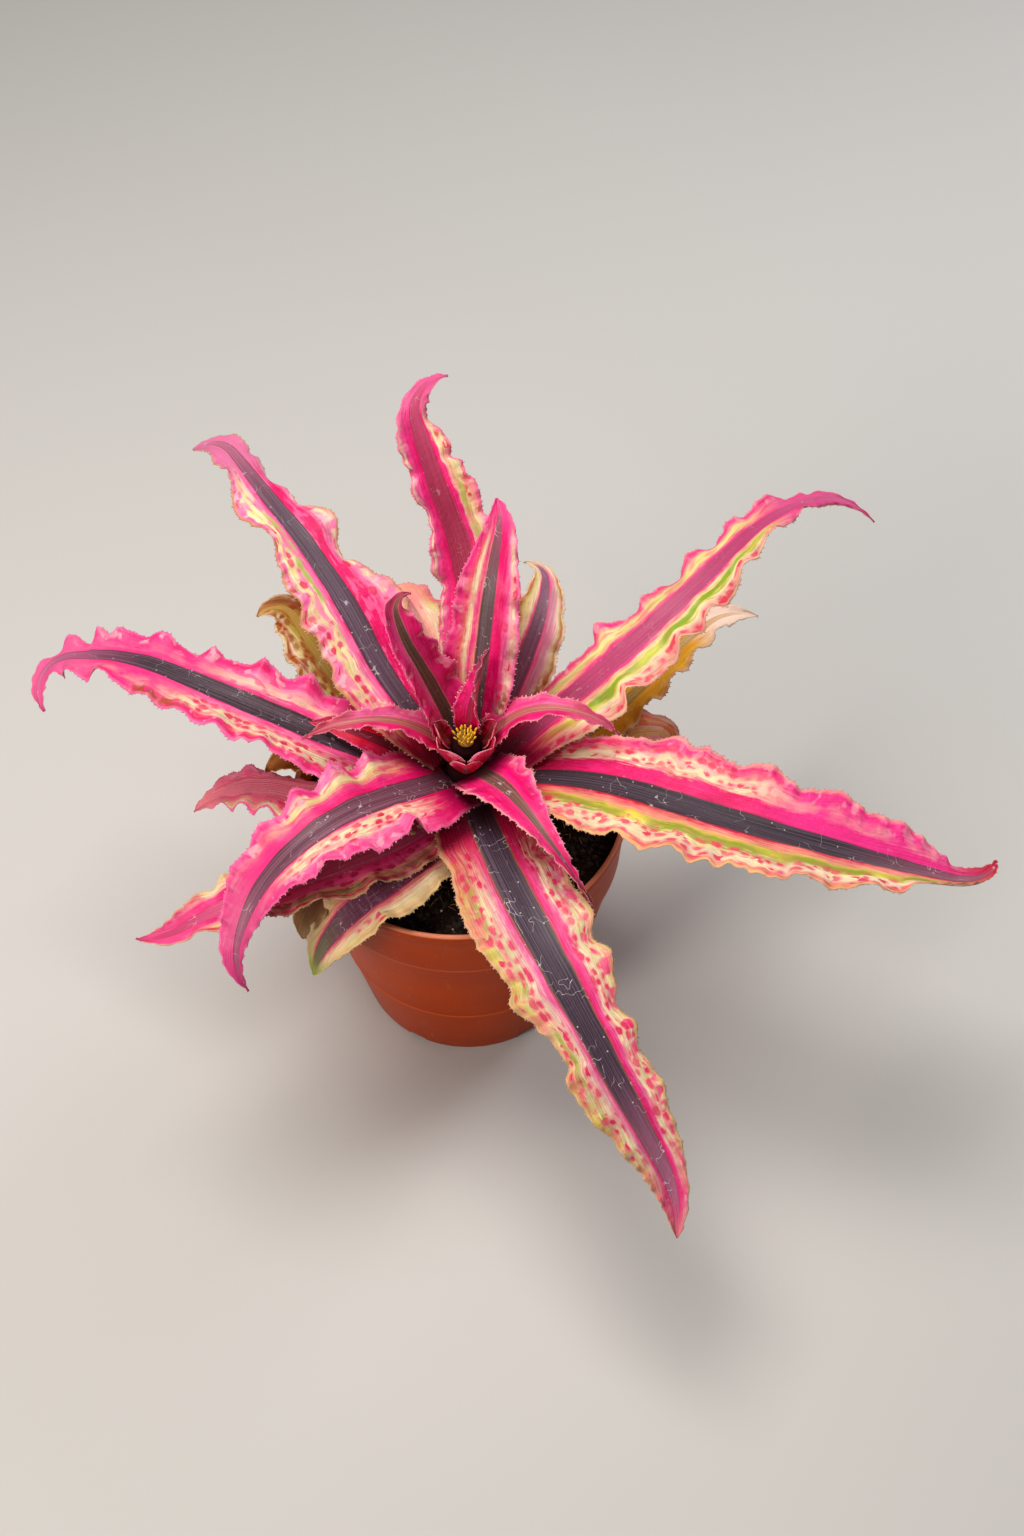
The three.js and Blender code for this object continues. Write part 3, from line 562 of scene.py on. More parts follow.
STATIONS = [0, 0.3, 0.6, 0.85, 1]
HALVES = [0, 0.5, 1]
ROW = 0.65
COLUMNS = 30
MID_THICKNESS = 1.2
EDGE_THICKNESS = 0.42
TIP_HALF_WIDTH = 0.3
CHANNEL = 0.03
TOOTH_STEP = 1.7


def bulges(*places):
    """Even waves: a bulge at each place and a half dip between neighbours."""
    dips = [((a + b) / 2, -0.5) for a, b in zip(places, places[1:])]
    return sorted([(at, 1) for at in places] + dips)


# The form of each leaf. It leaves the stem at the height root and follows turn and rise, which
# are read at five stations.
#   turn, rise   heading of the midrib, and its slope above level, in degrees
#   side         heading of its place on the stem, where that isn't the first turn
#   width        greatest width; widest is where along the leaf, and foot its share at the root
#   point, cup   how fast it narrows to the tip; how far the margins stand up
#   aside, roll  how much wider the left half is; twist, in degrees; at root, middle and tip
#   swell        how much a full bulge widens its half of the blade, 0.1 where not given
#   wave         height of the margins' waves, left and right; below 0 they hang
#   left, right  the waves: places along the leaf, with 1 at a full bulge and -1 at a full dip
#   creases      sharp folds: share across, depth and half-width in millimetres
FORMS = {
    "leaf_west": dict(root=107.6, length=150, turn=[175, 162, 151, 167, 309],
        rise=[23, 18, 0, -22, -40], width=31, widest=0.36, foot=0.6, point=0.95, cup=0, swell=0.12,
        wave=[-2, 2.2],
        left=[(0.2, 0.3), (0.26, 0), (0.3, -0.6), (0.33, -0.8), (0.362, -1.6), (0.39, -0.8),
        (0.42, -0.2), (0.455, -1.1), (0.49, 0), (0.53, -0.7), (0.57, 0.3), (0.615, -0.3),
        (0.65, 0.6), (0.69, 0), (0.74, -1.4), (0.785, 1.1), (0.835, -0.4), (0.86, 1.4),
        (0.9, -0.9)],
        right=[(0.23, 0.5), (0.28, -0.5), (0.33, 0.9), (0.375, -0.6), (0.435, 0.6), (0.475, -0.7),
        (0.52, -0.6), (0.55, 0.3), (0.585, -1.4), (0.62, -0.7), (0.66, 0.8), (0.69, -0.3),
        (0.75, 0.9), (0.768, 0.3), (0.79, 1.4), (0.81, -1), (0.85, 1.2), (0.875, -1.2),
        (0.91, -0.4)]),
    "leaf_northwest": dict(root=116.2, length=141, turn=[148, 120, 127, 119, 170],
        rise=[37, 31, 14, -5, -42], width=26, widest=0.3, foot=0.6, point=0.7, cup=-0.1,
        aside=[0.05, 0.05, 0.05], swell=0.26, wave=[-1.6, 1.8],
        left=[(0.2, 0.2), (0.255, 0.4), (0.28, -0.2), (0.31, 0.1), (0.35, -0.2), (0.39, 0.5),
        (0.44, -0.4), (0.48, 0.1), (0.54, -0.4), (0.6, -1.3), (0.7, 0.4), (0.8, -1.1), (0.86, 0.3),
        (0.91, -0.2)],
        right=[(0.2, 0.2), (0.28, 0.6), (0.34, 1.5), (0.385, 1.3), (0.43, 0.2), (0.5, -1.1),
        (0.58, 0.8), (0.665, -1.1), (0.695, -0.8), (0.75, -1.7), (0.82, -0.6), (0.84, -0.8),
        (0.9, 0.6), (0.94, 0.2)]),
    "leaf_north": dict(root=106, length=125, turn=[97, 78, 120, 107, -27],
        rise=[34, 45, 50, 39, 25], width=21.5, widest=0.4, foot=0.55, point=0.8, cup=0.1,
        aside=[-0.2, -0.2, 0], swell=0.22, roll=[0, -12, 0], wave=[1.6, 1.8],
        left=[(0.38, -0.2), (0.43, -0.9), (0.48, 0.6), (0.51, 0.2), (0.54, 0.2), (0.58, -1.1),
        (0.625, -1.5), (0.68, 0.4), (0.7, 0.3), (0.72, -0.6), (0.76, 0.6), (0.8, 1.6), (0.84, 1),
        (0.88, -0.2)],
        right=[(0.35, 0.3), (0.45, -0.3), (0.55, 0.3), (0.585, -0.2), (0.62, 0.4), (0.66, 0.8),
        (0.685, 0.2), (0.715, 0.5), (0.74, -0.5), (0.77, 0.3), (0.8, 0), (0.84, -1.3),
        (0.88, -1.4)]),
    "leaf_northeast": dict(root=110.4, length=162, turn=[24, 29, 45, 37, -33],
        rise=[32, 28, 9, -22, -37], width=24, widest=0.3, foot=0.55, point=1.15, cup=-0.12,
        aside=[-0.3, 0, 0.4], swell=0.16, wave=[1.7, -2],
        left=[(0.2, 0), (0.29, -0.4), (0.32, 1.5), (0.355, -0.2), (0.39, -1.1), (0.43, 0),
        (0.46, -0.5), (0.5, -1.6), (0.555, 0.5), (0.605, -1.4), (0.67, 0.6), (0.69, -0.3),
        (0.75, 1.4), (0.8, -0.4), (0.83, 0.1), (0.855, -0.2), (0.88, 0.3)],
        right=[(0.1, -0.5), (0.2, 0.2), (0.26, 0.8), (0.29, -1), (0.33, 0.5), (0.39, 0.8),
        (0.42, -0.7), (0.46, 0.9), (0.49, -0.6), (0.53, 1.2), (0.56, 0.9), (0.6, -0.8),
        (0.635, 0.5), (0.69, -1.1), (0.76, 0.4), (0.79, -0.9), (0.86, 0.6)]),
    "leaf_east": dict(root=108, side=-12, length=170, turn=[-14, -31, -17, -3, 76],
        rise=[26, 11, -7, -21, -28], width=37.5, widest=0.42, foot=0.55, point=1, cup=0.1,
        aside=[0, 0.04, 0.4], swell=0.18, wave=[1.6, -1.2],
        left=[(0.1, -0.4), (0.2, 0.1), (0.27, 0.1), (0.315, 0.9), (0.34, 0.2), (0.36, 0.4),
        (0.435, -0.3), (0.495, 0.7), (0.56, -0.3), (0.64, 0.7), (0.69, 0), (0.72, 0.2),
        (0.76, 0.5), (0.8, 0), (0.84, -0.7), (0.88, -1.4), (0.91, -1.1)],
        right=[(0.15, 0.2), (0.235, 0.9), (0.28, 0.7), (0.295, -0.1), (0.35, 0.6), (0.395, -0.5),
        (0.43, 0.4), (0.45, -0.1), (0.47, 0.3), (0.49, -0.2), (0.53, 0.2), (0.57, 0.5),
        (0.59, -0.3), (0.615, -0.2), (0.645, 0.9), (0.68, 0.6), (0.7, -0.3), (0.76, 0.8),
        (0.785, -1.1), (0.86, -1.8), (0.92, -1.5)],
        creases=[(-0.61, 0.7, 0.05)]),
    "leaf_south": dict(root=106, length=152, turn=[-77, -67, -61, -55, -98],
        rise=[13, -2, -23, -41, -48], width=32.5, widest=0.3, foot=0.8, point=0.8, cup=0.02,
        swell=0.18, wave=[1.6, 1.8],
        left=[(0.15, -0.4), (0.18, -0.8), (0.22, 0.2), (0.28, -0.1), (0.36, 0.5), (0.41, -0.6),
        (0.45, 0.5), (0.5, -0.3), (0.55, -1.2), (0.6, -0.1), (0.64, -0.9), (0.68, -0.3),
        (0.725, 0.5), (0.76, 0), (0.8, 0.2), (0.84, 0.3), (0.89, -0.2)],
        right=[(0.06, 0.5), (0.12, 0.5), (0.165, -0.3), (0.2, 0), (0.25, 0.4), (0.3, 0.6),
        (0.34, 0.6), (0.4, 0), (0.435, -0.3), (0.47, 1), (0.52, -0.4), (0.56, -1.2), (0.61, -1.3),
        (0.635, 0.7), (0.68, 0.8), (0.72, 1.1), (0.76, -0.1), (0.795, 0.4), (0.84, -0.3),
        (0.88, 0.1)]),
    "leaf_southwest": dict(root=113, side=222, length=107, turn=[220, 213, 219, 243, 322],
        rise=[31, 16, -26, -51, -60], width=30, widest=0.3, foot=0.92, point=1.05, cup=0.05,
        aside=[0, 0, -0.7], swell=0.12, wave=[-2.6, 2.6],
        left=[(0.05, 0.9), (0.12, 1), (0.2, 0.8), (0.235, -1), (0.27, 0.2), (0.36, 1), (0.4, 0.2),
        (0.46, 0.3), (0.5, -0.6), (0.57, 0.5), (0.63, -0.1), (0.7, 0.2)],
        right=[(0.1, 0.3), (0.16, 0.1), (0.22, 0.7), (0.27, -0.6), (0.33, 1), (0.4, -0.6),
        (0.45, 0.9), (0.51, -0.3), (0.58, 0.6), (0.63, -0.2), (0.69, 0.4), (0.75, -0.1)]),
    "leaf_southwest_under": dict(root=101, length=108, turn=[-128, -152, -165, -158, -200],
        rise=[15, 7, -8, -18, -20], width=26, widest=0.35, foot=0.45, point=1, cup=0.2,
        wave=[-1.2, 1.2],
        left=bulges(0.27, 0.4, 0.57, 0.75, 0.88), right=bulges(0.3, 0.46, 0.62, 0.7, 0.78)),
    "leaf_north_inner": dict(root=111.5, side=72, length=82, turn=[75, 72, 74, 75, 101],
        rise=[74, 69, 57, 38, 18], width=22, widest=0.45, foot=0.35, point=0.8, cup=0,
        roll=[-12, -8, 0], wave=[1.4, 1.4],
        left=[(0.3, 0.3), (0.42, 0.8), (0.5, -0.3), (0.6, 0.3), (0.68, 0.6), (0.8, -0.1)],
        right=[(0.3, 0.6), (0.42, -0.2), (0.5, 0.4), (0.62, -0.7), (0.67, 0.5), (0.78, -0.6),
        (0.84, 0.5)]),
    "leaf_north_short": dict(root=100.6, side=62, length=75, turn=[60, 56, 64, 86, 170],
        rise=[43, 46, 29, 8, -5], width=20, widest=0.5, foot=0.4, point=1.05, cup=0.05, swell=0.14,
        wave=[1.4, 1.4],
        left=[(0.4, 0), (0.55, -0.4), (0.64, -0.8), (0.72, 1), (0.8, 0.2), (0.86, 0.5), (0.92, 0)],
        right=[(0.4, 0.2), (0.5, 0.6), (0.56, -0.3), (0.63, 0.9), (0.7, -0.3), (0.78, 0.4),
        (0.86, -0.3)]),
    "leaf_east_young": dict(root=119, side=28, length=51, turn=[28, -3, -13, -18, -22],
        rise=[58, 43, 5, -25, -50], width=10.5, widest=0.25, foot=0.65, point=1.05, cup=0.25,
        wave=[0.5, -0.6],
        left=bulges(0.3, 0.5, 0.7, 0.9), right=bulges(0.25, 0.45, 0.7)),
    "leaf_west_young": dict(root=119, side=160, length=50, turn=[160, 183, 189, 188, 189],
        rise=[50, 38, 5, -16, -36], width=10, widest=0.25, foot=0.6, point=1.05, cup=0.25,
        wave=[-0.5, 0.5],
        left=bulges(0.3, 0.5, 0.7, 0.9), right=bulges(0.25, 0.45, 0.65)),
    "leaf_heart": dict(root=121, side=82, length=40, turn=[82, 40, 0, -10, -20],
        rise=[84, 80, 78, 74, 70], width=9, widest=0.3, foot=0.6, point=0.95, cup=0.3,
        wave=[0.3, 0.3],
        left=bulges(0.3, 0.6), right=bulges(0.4, 0.7)),
    "leaf_northwest_young": dict(root=117, side=118, length=58, turn=[118, 148, 150, 110, -30],
        rise=[68, 66, 62, 52, 30], width=18, widest=0.35, foot=0.5, point=0.95, cup=0.2,
        wave=[0.9, 1.2],
        left=bulges(0.3, 0.48, 0.65), right=bulges(0.25, 0.42, 0.58, 0.75)),
    "leaf_southeast_young": dict(root=117, side=-58, length=67, turn=[-52, -63, -56, -42, -20],
        rise=[34, 22, -15, -50, -67], width=20.5, widest=0.16, foot=0.9, point=1.85, cup=0.1,
        wave=[1.3, 1.3],
        left=[(0.1, 0.2), (0.16, 0.8), (0.2, -0.6), (0.27, 0.8), (0.34, -0.3), (0.45, 0.4),
        (0.55, -0.3), (0.65, 0.3)],
        right=[(0.08, 0.5), (0.13, -0.3), (0.2, 0.8), (0.27, -0.3), (0.36, 0.4), (0.45, -0.2),
        (0.56, 0.4), (0.7, 0)]),
    "leaf_west_folded": dict(root=109.2, side=165, length=44, turn=[166, 166, 168, 175, 180],
        rise=[26, 25, 21, 17, 8], width=13, widest=0.3, foot=0.55, point=0.9, cup=0.1,
        roll=[0, -8, -14], wave=[0.6, 0.6],
        left=bulges(0.3, 0.6), right=bulges(0.35, 0.65)),
    "leaf_north_pale": dict(root=102, side=108, length=64, turn=[108, 102, 108, 116, 125],
        rise=[34, 34, 24, 8, -5], width=23, widest=0.6, foot=0.4, point=0.6, cup=0.05, swell=0.14,
        wave=[1.4, 1.8],
        left=[(0.4, 0.4), (0.52, -0.7), (0.6, 0.9), (0.68, -0.6), (0.78, 0.9), (0.88, -0.3)],
        right=[(0.4, 0.3), (0.5, -0.8), (0.58, 1), (0.66, -0.7), (0.76, 1), (0.84, -0.6),
        (0.92, 0.5)]),
    "leaf_south_low": dict(root=99, length=78, turn=[-105, -139, -149, -154, -140],
        rise=[22, 3, -22, -62, -76], width=22, widest=0.5, foot=0.4, point=0.8, cup=0,
        wave=[-1.3, 1.3],
        left=[(0.3, 0.4), (0.42, 1), (0.5, 0.6), (0.55, -1), (0.62, 0.2), (0.72, 0.3), (0.88, 0)],
        right=bulges(0.3, 0.5, 0.68, 0.84)),
    "leaf_west_low": dict(root=98, length=84, turn=[-176, -180, -204, -184, -148],
        rise=[12, 4, -12, -28, -34], width=18.5, widest=0.6, foot=0.4, point=0.95, cup=0.05,
        swell=0.26, wave=[-1, 1.2],
        left=bulges(0.55, 0.68, 0.8, 0.92),
        right=[(0.3, -1.2), (0.5, -1.6), (0.62, -1.5), (0.7, -0.9), (0.765, 0.6), (0.8, 0.1),
        (0.86, 0.6), (0.91, -0.2)]),
    "leaf_northwest_low": dict(root=99, length=89, turn=[150, 137, 121, 120, 236],
        rise=[24, 20, 10, 4, -6], width=21, widest=0.5, foot=0.5, point=0.75, cup=0.05,
        wave=[-1.6, 1.5],
        left=bulges(0.45, 0.58, 0.7, 0.83), right=bulges(0.4, 0.55, 0.7, 0.85)),
    "leaf_northeast_low": dict(root=98, length=110, turn=[16, 34, 53, 42, -12],
        rise=[18, 10, 2, -6, -14], width=18, widest=0.45, foot=0.45, point=0.8, cup=0.05,
        aside=[0.3, 0.36, 0], swell=0.2, wave=[1.2, -1.5],
        left=bulges(0.4, 0.55, 0.7, 0.85), right=bulges(0.42, 0.54, 0.66, 0.78, 0.9)),
    "leaf_east_low": dict(root=96, length=66, turn=[12, 21, 28, 14, -60],
        rise=[18, 14, 5, -26, -70], width=18, widest=0.6, foot=0.45, point=0.6, cup=0, swell=0.14,
        wave=[1.5, -1.5],
        left=[(0.5, 0.2), (0.62, 0.8), (0.7, -0.4), (0.78, 0.6), (0.86, -0.3), (0.93, 0.3)],
        right=[(0.45, 0.5), (0.55, -0.6), (0.64, 0.9), (0.72, -0.7), (0.8, 0.8), (0.9, -0.4)]),
    "leaf_west_withered": dict(root=94, side=150, length=60, turn=[154, 166, 170, 178, 196],
        rise=[20, 12, -2, -14, -34], width=16, widest=0.5, foot=0.4, point=0.7, cup=0.3,
        wave=[1.6, 1.8],
        left=bulges(0.4, 0.6, 0.8), right=bulges(0.45, 0.65, 0.85)),
    "leaf_southwest_withered": dict(root=93, side=-147, length=66,
        turn=[-150, -144, -140, -134, -125], rise=[20, 12, -10, -50, -75], width=14, widest=0.6,
        foot=0.4, point=0.7, cup=0.15, wave=[1.2, 1.4],
        left=bulges(0.4, 0.6, 0.8), right=bulges(0.45, 0.65, 0.85)),
}


def wave_at(waves, u):
    """Height of a margin's waves along the leaf, eased from each listed place to the next."""
    at, height = np.array(waves, float).T
    i = np.clip(np.searchsorted(at, u, side="right") - 1, 0, len(at) - 2)
    return height[i] + (height[i + 1] - height[i]) * smooth((u - at[i]) / (at[i + 1] - at[i]))


def half_width(leaf, u):
    """Half the blade's width: a quarter sine from the foot to the widest place, then a taper."""
    past = np.clip((u - leaf["widest"]) / (1 - leaf["widest"]), 0, 1)
    grow = leaf["foot"] + (1 - leaf["foot"]) * np.sin(
        math.pi / 2 * np.clip(u / leaf["widest"], 0, 1))
    taper = (1 - past) ** leaf["point"] * (1 + 0.6 * past)
    return np.maximum(TIP_HALF_WIDTH, leaf["width"] / 2 * grow * taper)


def ripple(s, rng, short, long):
    """Uneven small waves along a margin: five sines of random length and start, added."""
    waves = rng.uniform(short, long, 5)
    starts = rng.random(5) * 2 * math.pi
    return np.sin(2 * math.pi * s[:, None] / waves + starts).sum(1)[:, None] / 2.2


def midrib(leaf, u):
    """Midrib places and the blade's left and up directions, summed from turn and rise."""
    side = math.radians(leaf.get("side", leaf["turn"][0]))
    reach = stem_radius(leaf["root"]) + 0.4
    turn, rise = (np.radians(np.interp(u, STATIONS, leaf[k])) for k in ("turn", "rise"))
    roll = np.radians(np.interp(u, HALVES, leaf.get("roll", [0, 0, 0])))[:, None]
    along = np.stack([np.cos(turn) * np.cos(rise), np.sin(turn) * np.cos(rise),
                      np.sin(rise)], -1)
    step = leaf["length"] / (len(u) - 1)
    root = [STEM_X + reach * math.cos(side), STEM_Y + reach * math.sin(side), leaf["root"]]
    at = root + np.vstack([[0, 0, 0], np.cumsum(along[1:] * step, 0)])
    level = np.stack([-np.sin(turn), np.cos(turn), np.zeros(len(u))], -1)
    left = level * np.cos(roll) + np.cross(along, level) * np.sin(roll)
    return at, left, np.cross(along, left)


def upper_face(leaf, u, v, seed, ripples):
    """Upper face of a blade on the grid u (root to tip) by v (-1 right margin to 1 left).
    Out from the midrib = half width x (1 +- aside) x v x (1 + swell x bulge x |v|). Height
    above it = cup x half width x v squared + wave x bulge x |v| to 2.2, less a shallow channel,
    plus fine ripples."""
    at, left, up = midrib(leaf, u)
    half = half_width(leaf, u)[:, None]
    s = u * leaf["length"]
    rng = np.random.default_rng(seed)
    ends = (smooth((u - 0.03) / 0.12) * smooth((1 - u) / 0.15))[:, None]
    edge = np.abs(v)[None]
    aside = np.interp(u, HALVES, leaf.get("aside", [0, 0, 0]))[:, None]
    out = 0
    stand = leaf["cup"] * half * v[None] ** 2
    for side, waves, height in ((1, leaf["left"], leaf["wave"][0]),
                                (-1, leaf["right"], leaf["wave"][1])):
        mine = (v * side > 0)[None]
        bulge = wave_at(waves, u)[:, None] * ends
        frill = ripple(s, rng, 4, 8) * ends * edge ** 4 * ripples
        nick = ripple(s, rng, 2.5, 6) * edge ** 6 * 0.2 * ripples
        reach = half * (1 + side * aside) * edge * (1 + leaf.get("swell", 0.1) * bulge * edge)
        out = out + mine * side * (reach + nick)
        stand = stand + mine * (height * bulge * edge ** 2.2 + frill * 0.36)
    channel = CHANNEL * half * np.exp(-(v[None] / 0.28) ** 2)
    stand = stand - channel * smooth(u / 0.1)[:, None]
    for place, depth, spread in leaf.get("creases", ()):
        stand = stand - depth * np.exp(-((v[None] - place) / spread) ** 2) * ends
    return at[:, None] + left[:, None] * out[..., None] + up[:, None] * stand[..., None], up


def teeth(edge, out, along, up, u, side, seed, size):
    """Hooked teeth on one margin. Each is a ring of four corners on the margin, a smaller ring
    half-way out and a tip that leans towards the leaf's tip."""
    rng = np.random.default_rng(seed)
    s = np.concatenate([[0], np.cumsum(np.linalg.norm(np.diff(edge, axis=0), axis=1))])
    at = np.arange(4, s[-1] - 2, TOOTH_STEP)
    at = at + rng.uniform(-0.5, 0.5, len(at))
    centre, o, a, n = (np.stack([np.interp(at, s, column) for column in values.T], -1)
                       for values in (edge, out, along, up))
    share = np.interp(at, s, u)
    tall = size * rng.uniform(0.65, 1.25, len(at)) * (0.45 + 0.55 * smooth((1 - share) / 0.4))
    tall = tall[:, None]
    base = np.array([(-0.42, -0.16), (0.42, -0.16), (0.42, 0.16), (-0.42, 0.16)])
    rings = [centre[:, None] + o[:, None] * (tall * reach)[..., None]
             + a[:, None] * tall[..., None] * (lean + width * base[None, :, :1])
             + n[:, None] * (base[None, :, 1:] * flat)
             for reach, lean, width, flat in ((-0.35, 0, 1.15, 1), (0.5, 0.22, 0.55, 0.7))]
    tip = centre + o * tall + a * (0.55 * tall)
    places = np.concatenate([*rings, tip[:, None]], 1)
    quads = tube_faces(2, 4)
    caps = np.array([(i + 4, (i + 1) % 4 + 4, 8) for i in range(4)])
    if side < 0:
        quads, caps = quads[:, ::-1], caps[:, ::-1]
    offset = 9 * np.arange(len(at))[:, None, None]
    across = np.array([1.0] * 4 + [1.18] * 4 + [1.35]) * side
    blade = np.stack(np.broadcast_arrays(share[:, None], across[None], 1.0), -1)
    return places.reshape(-1, 3), quads + offset, caps + offset, blade.reshape(-1, 3)


def blade_piece(name, leaf, seed, ripples=1.0, tooth=1.0, row=ROW, columns=COLUMNS):
    """A closed blade with its teeth. Fields: "blade" holds the share along, the share across
    and 1 on the upper face; "run" holds millimetres along, millimetres across and the seed."""
    rows = max(24, round(leaf["length"] / row))
    u = np.linspace(0, 1, rows + 1)
    t = np.linspace(-1, 1, columns + 1)
    v = 0.6 * t + 0.4 * np.sin(t * math.pi / 2)
    top, up = upper_face(leaf, u, v, seed, ripples)
    thick = MID_THICKNESS + (EDGE_THICKNESS - MID_THICKNESS) * v ** 2
    thick = thick[None] * (0.45 + 0.55 * smooth((1 - u) / 0.25))[:, None]
    low = top - up[:, None] * thick[..., None]
    reach = [top[:, 0] - top[:, 1], top[:, -1] - top[:, -2]]
    reach = [r / np.linalg.norm(r, axis=1)[:, None] for r in reach]
    rims = [(top[:, j] + low[:, j]) / 2 + r * 0.16 for j, r in zip((0, -1), reach)]
    loop = np.concatenate([top, rims[1][:, None], low[:, ::-1], rims[0][:, None]], 1)
    around = loop.shape[1]
    across = np.concatenate([v, [1], v[::-1], [-1]])
    face = np.concatenate([np.ones(len(v)), [0.5], np.zeros(len(v)), [0.5]])
    blade = np.stack(np.broadcast_arrays(u[:, None], across[None], face[None]), -1)
    strip = np.arange(columns)
    lower = 2 * columns + 2 - strip
    root = np.stack([strip, strip + 1, lower - 1, lower], -1)
    root_caps = np.array([(0, around - 2, around - 1), (columns, columns + 1, columns + 2)])
    walls = np.roll(tube_faces(rows + 1, around)[:, ::-1], 1, axis=1)
    last = rows * around
    places, blades = [loop.reshape(-1, 3)], [blade.reshape(-1, 3)]
    quads, caps = [walls, root, root[:, ::-1] + last], [root_caps, root_caps[:, ::-1] + last]
    count = len(places[0])
    for side, rim, out in zip((-1, 1), rims, reach):
        along = np.gradient(rim, axis=0)
        along /= np.linalg.norm(along, axis=1)[:, None] + 1e-9
        p, q, c, b = teeth(rim, out, along, up, u, side, seed + side, tooth)
        places.append(p)
        blades.append(b)
        quads.append(q.reshape(-1, 4) + count)
        caps.append(c.reshape(-1, 3) + count)
        count += len(p)
    blades = np.vstack(blades)
    run = np.stack([blades[:, 0] * leaf["length"],
                    blades[:, 1] * np.interp(blades[:, 0], u, half_width(leaf, u)),
                    np.full(len(blades), float(seed))], -1)
    return mesh_piece(name, np.vstack(places), np.vstack(quads), np.vstack(caps),
                      {"blade": blades, "run": run})


# ---------------------------------------------------------------- leaves: colour
# The blade is painted in bands along it: a dark stripe on the midrib, pink beside it, then cream,
# yellow or green with rows of red spots, and a pink or tan rim with pale teeth.

HOT, CRIMSON, ROSE, PINK = "ea0867", "cc0640", "f03080", "f66ea4"
CORAL, SALMON, CREAM, BUTTER = "ec6464", "f29c88", "f6dfb2", "ead48a"
YELLOW, LIME, OCHRE, TAN = "d6c248", "98a428", "b98730", "c98f62"
MAGENTA, DARK, OLIVE = "d21c6c", "3a2a34", "6c5a3c"

PLAIN = dict(stripe=DARK, stripe_width=0.24, stripe_line="6a5662", stripe_edge="4a2a30",
             stripe_end="a05068", root=CRIMSON, root_length=0.18, tip=ROSE, tip_start=0.8,
             flush=ROSE, left_flush=0.4, right_flush=0.4, left_pale=0.8, right_pale=0.8,
             spot="d62850", left_spots=0.0, right_spots=0.0, spots_from=0.5, spots_to=0.85,
             green=LIME, left_green=0.0, right_green=0.0, green_middle=0.55, green_from=0.12,
             green_to=0.7, rim=PINK, rim_share=0.7, scurf=0.6, bars=0.0, scales=0.3,
             left_scorch=-1.0, right_scorch=-1.0)
PLACES = dict(blade=(0, 0, 0), run=(0, 0, 0))
BANDS = dict(band=0.0, line=0.0, left=0.0, along=0.0, streak=0.0)
SIDES = dict(left_bands=PINK, right_bands=PINK)


def group(name, inputs, outputs):
    """Opens a new shader node group and gives its inputs, as links, and its output node. Each
    input and output has a name and a value of its kind: a number, a hex colour or a place."""
    global tree
    tree = bpy.data.node_groups.new(name, "ShaderNodeTree")
    kinds = {float: "NodeSocketFloat", str: "NodeSocketColor", tuple: "NodeSocketVector"}
    for way, sockets in (("INPUT", inputs), ("OUTPUT", outputs)):
        for key, value in sockets.items():
            tree.interface.new_socket(key.replace("_", " "), in_out=way,
                                      socket_type=kinds[type(value)])
    given = tree.nodes.new("NodeGroupInput").outputs
    return (SimpleNamespace(**{key: Link(socket) for key, socket in zip(inputs, given)}),
            tree.nodes.new("NodeGroupOutput"))


# Where the bands lie: the share across, drifting and streaked by noise along the blade.
given, result = group("leaf_bands", PLACES, BANDS)
from_root, aside, _ = wire("ShaderNodeSeparateXYZ", (0, given.blade))
across = abs(aside)
slow, fine, soft = (grain(given.run, stretch, detail) - 0.5 for stretch, detail in (
    ((0.055, 0.22, 1), 2), ((0.11, 1.7, 1), 3), ((0.3, 0.8, 1), 2)))
feed(result, band=across + slow * 0.2 + soft * 0.14 + fine * 0.16, line=across + fine * 0.03,
     left=aside > 0.0, along=from_root + fine * 0.12, streak=fine + 0.5)
leaf_bands = tree

given, result = group("leaf_paint", {**PLACES, **BANDS, **SIDES, **PLAIN},
                      dict(colour=PINK, roughness=0.0, height=0.0))
run, band, along = given.run, given.band, given.along
from_root, aside, upper = wire("ShaderNodeSeparateXYZ", (0, given.blade))
across = abs(aside)


def own(kind):
    """The leaf's value of that kind on this half of the blade: its left or its right one."""
    left, right = getattr(given, "left_" + kind), getattr(given, "right_" + kind)
    return right + given.left * (left - right)


def within(value, low, high, soft):
    """1 between low and high, falling to 0 over a soft edge."""
    return ease(value, low - soft, low) * ease(value, high + soft, high)


def cells(place, scale, randomness):
    """Cells scattered over the blade: distance to the middle, and three random numbers."""
    distance, tint, *_ = wire("ShaderNodeTexVoronoi", ("Vector", place), ("Scale", scale),
                              ("Randomness", randomness), voronoi_dimensions="2D")
    return distance, *wire("ShaderNodeSeparateColor", (0, tint))


colour = blend(given.left, given.right_bands, given.left_bands)
# Soft light and dark streaks along the blade.
tone = (span(given.streak, 0.76, 1.12, 0.25, 0.75)
        * span(grain(run, (0.07, 0.16, 1)), 0.8, 1.16, 0.3, 0.7))
tones = wire("ShaderNodeCombineColor", (0, tone), (1, tone), (2, tone))[0]
colour = blend(1.0, colour, tones, "MULTIPLY")
# A green line with feathered ends.
green = (within(band, given.green_middle - 0.03, given.green_middle + 0.03, 0.07)
         * ease(grain(run, (0.05, 0.12, 1), 1), 0.38, 0.5) * own("green")
         * within(along, given.green_from, given.green_to, 0.07))
colour = blend(green, colour, given.green)
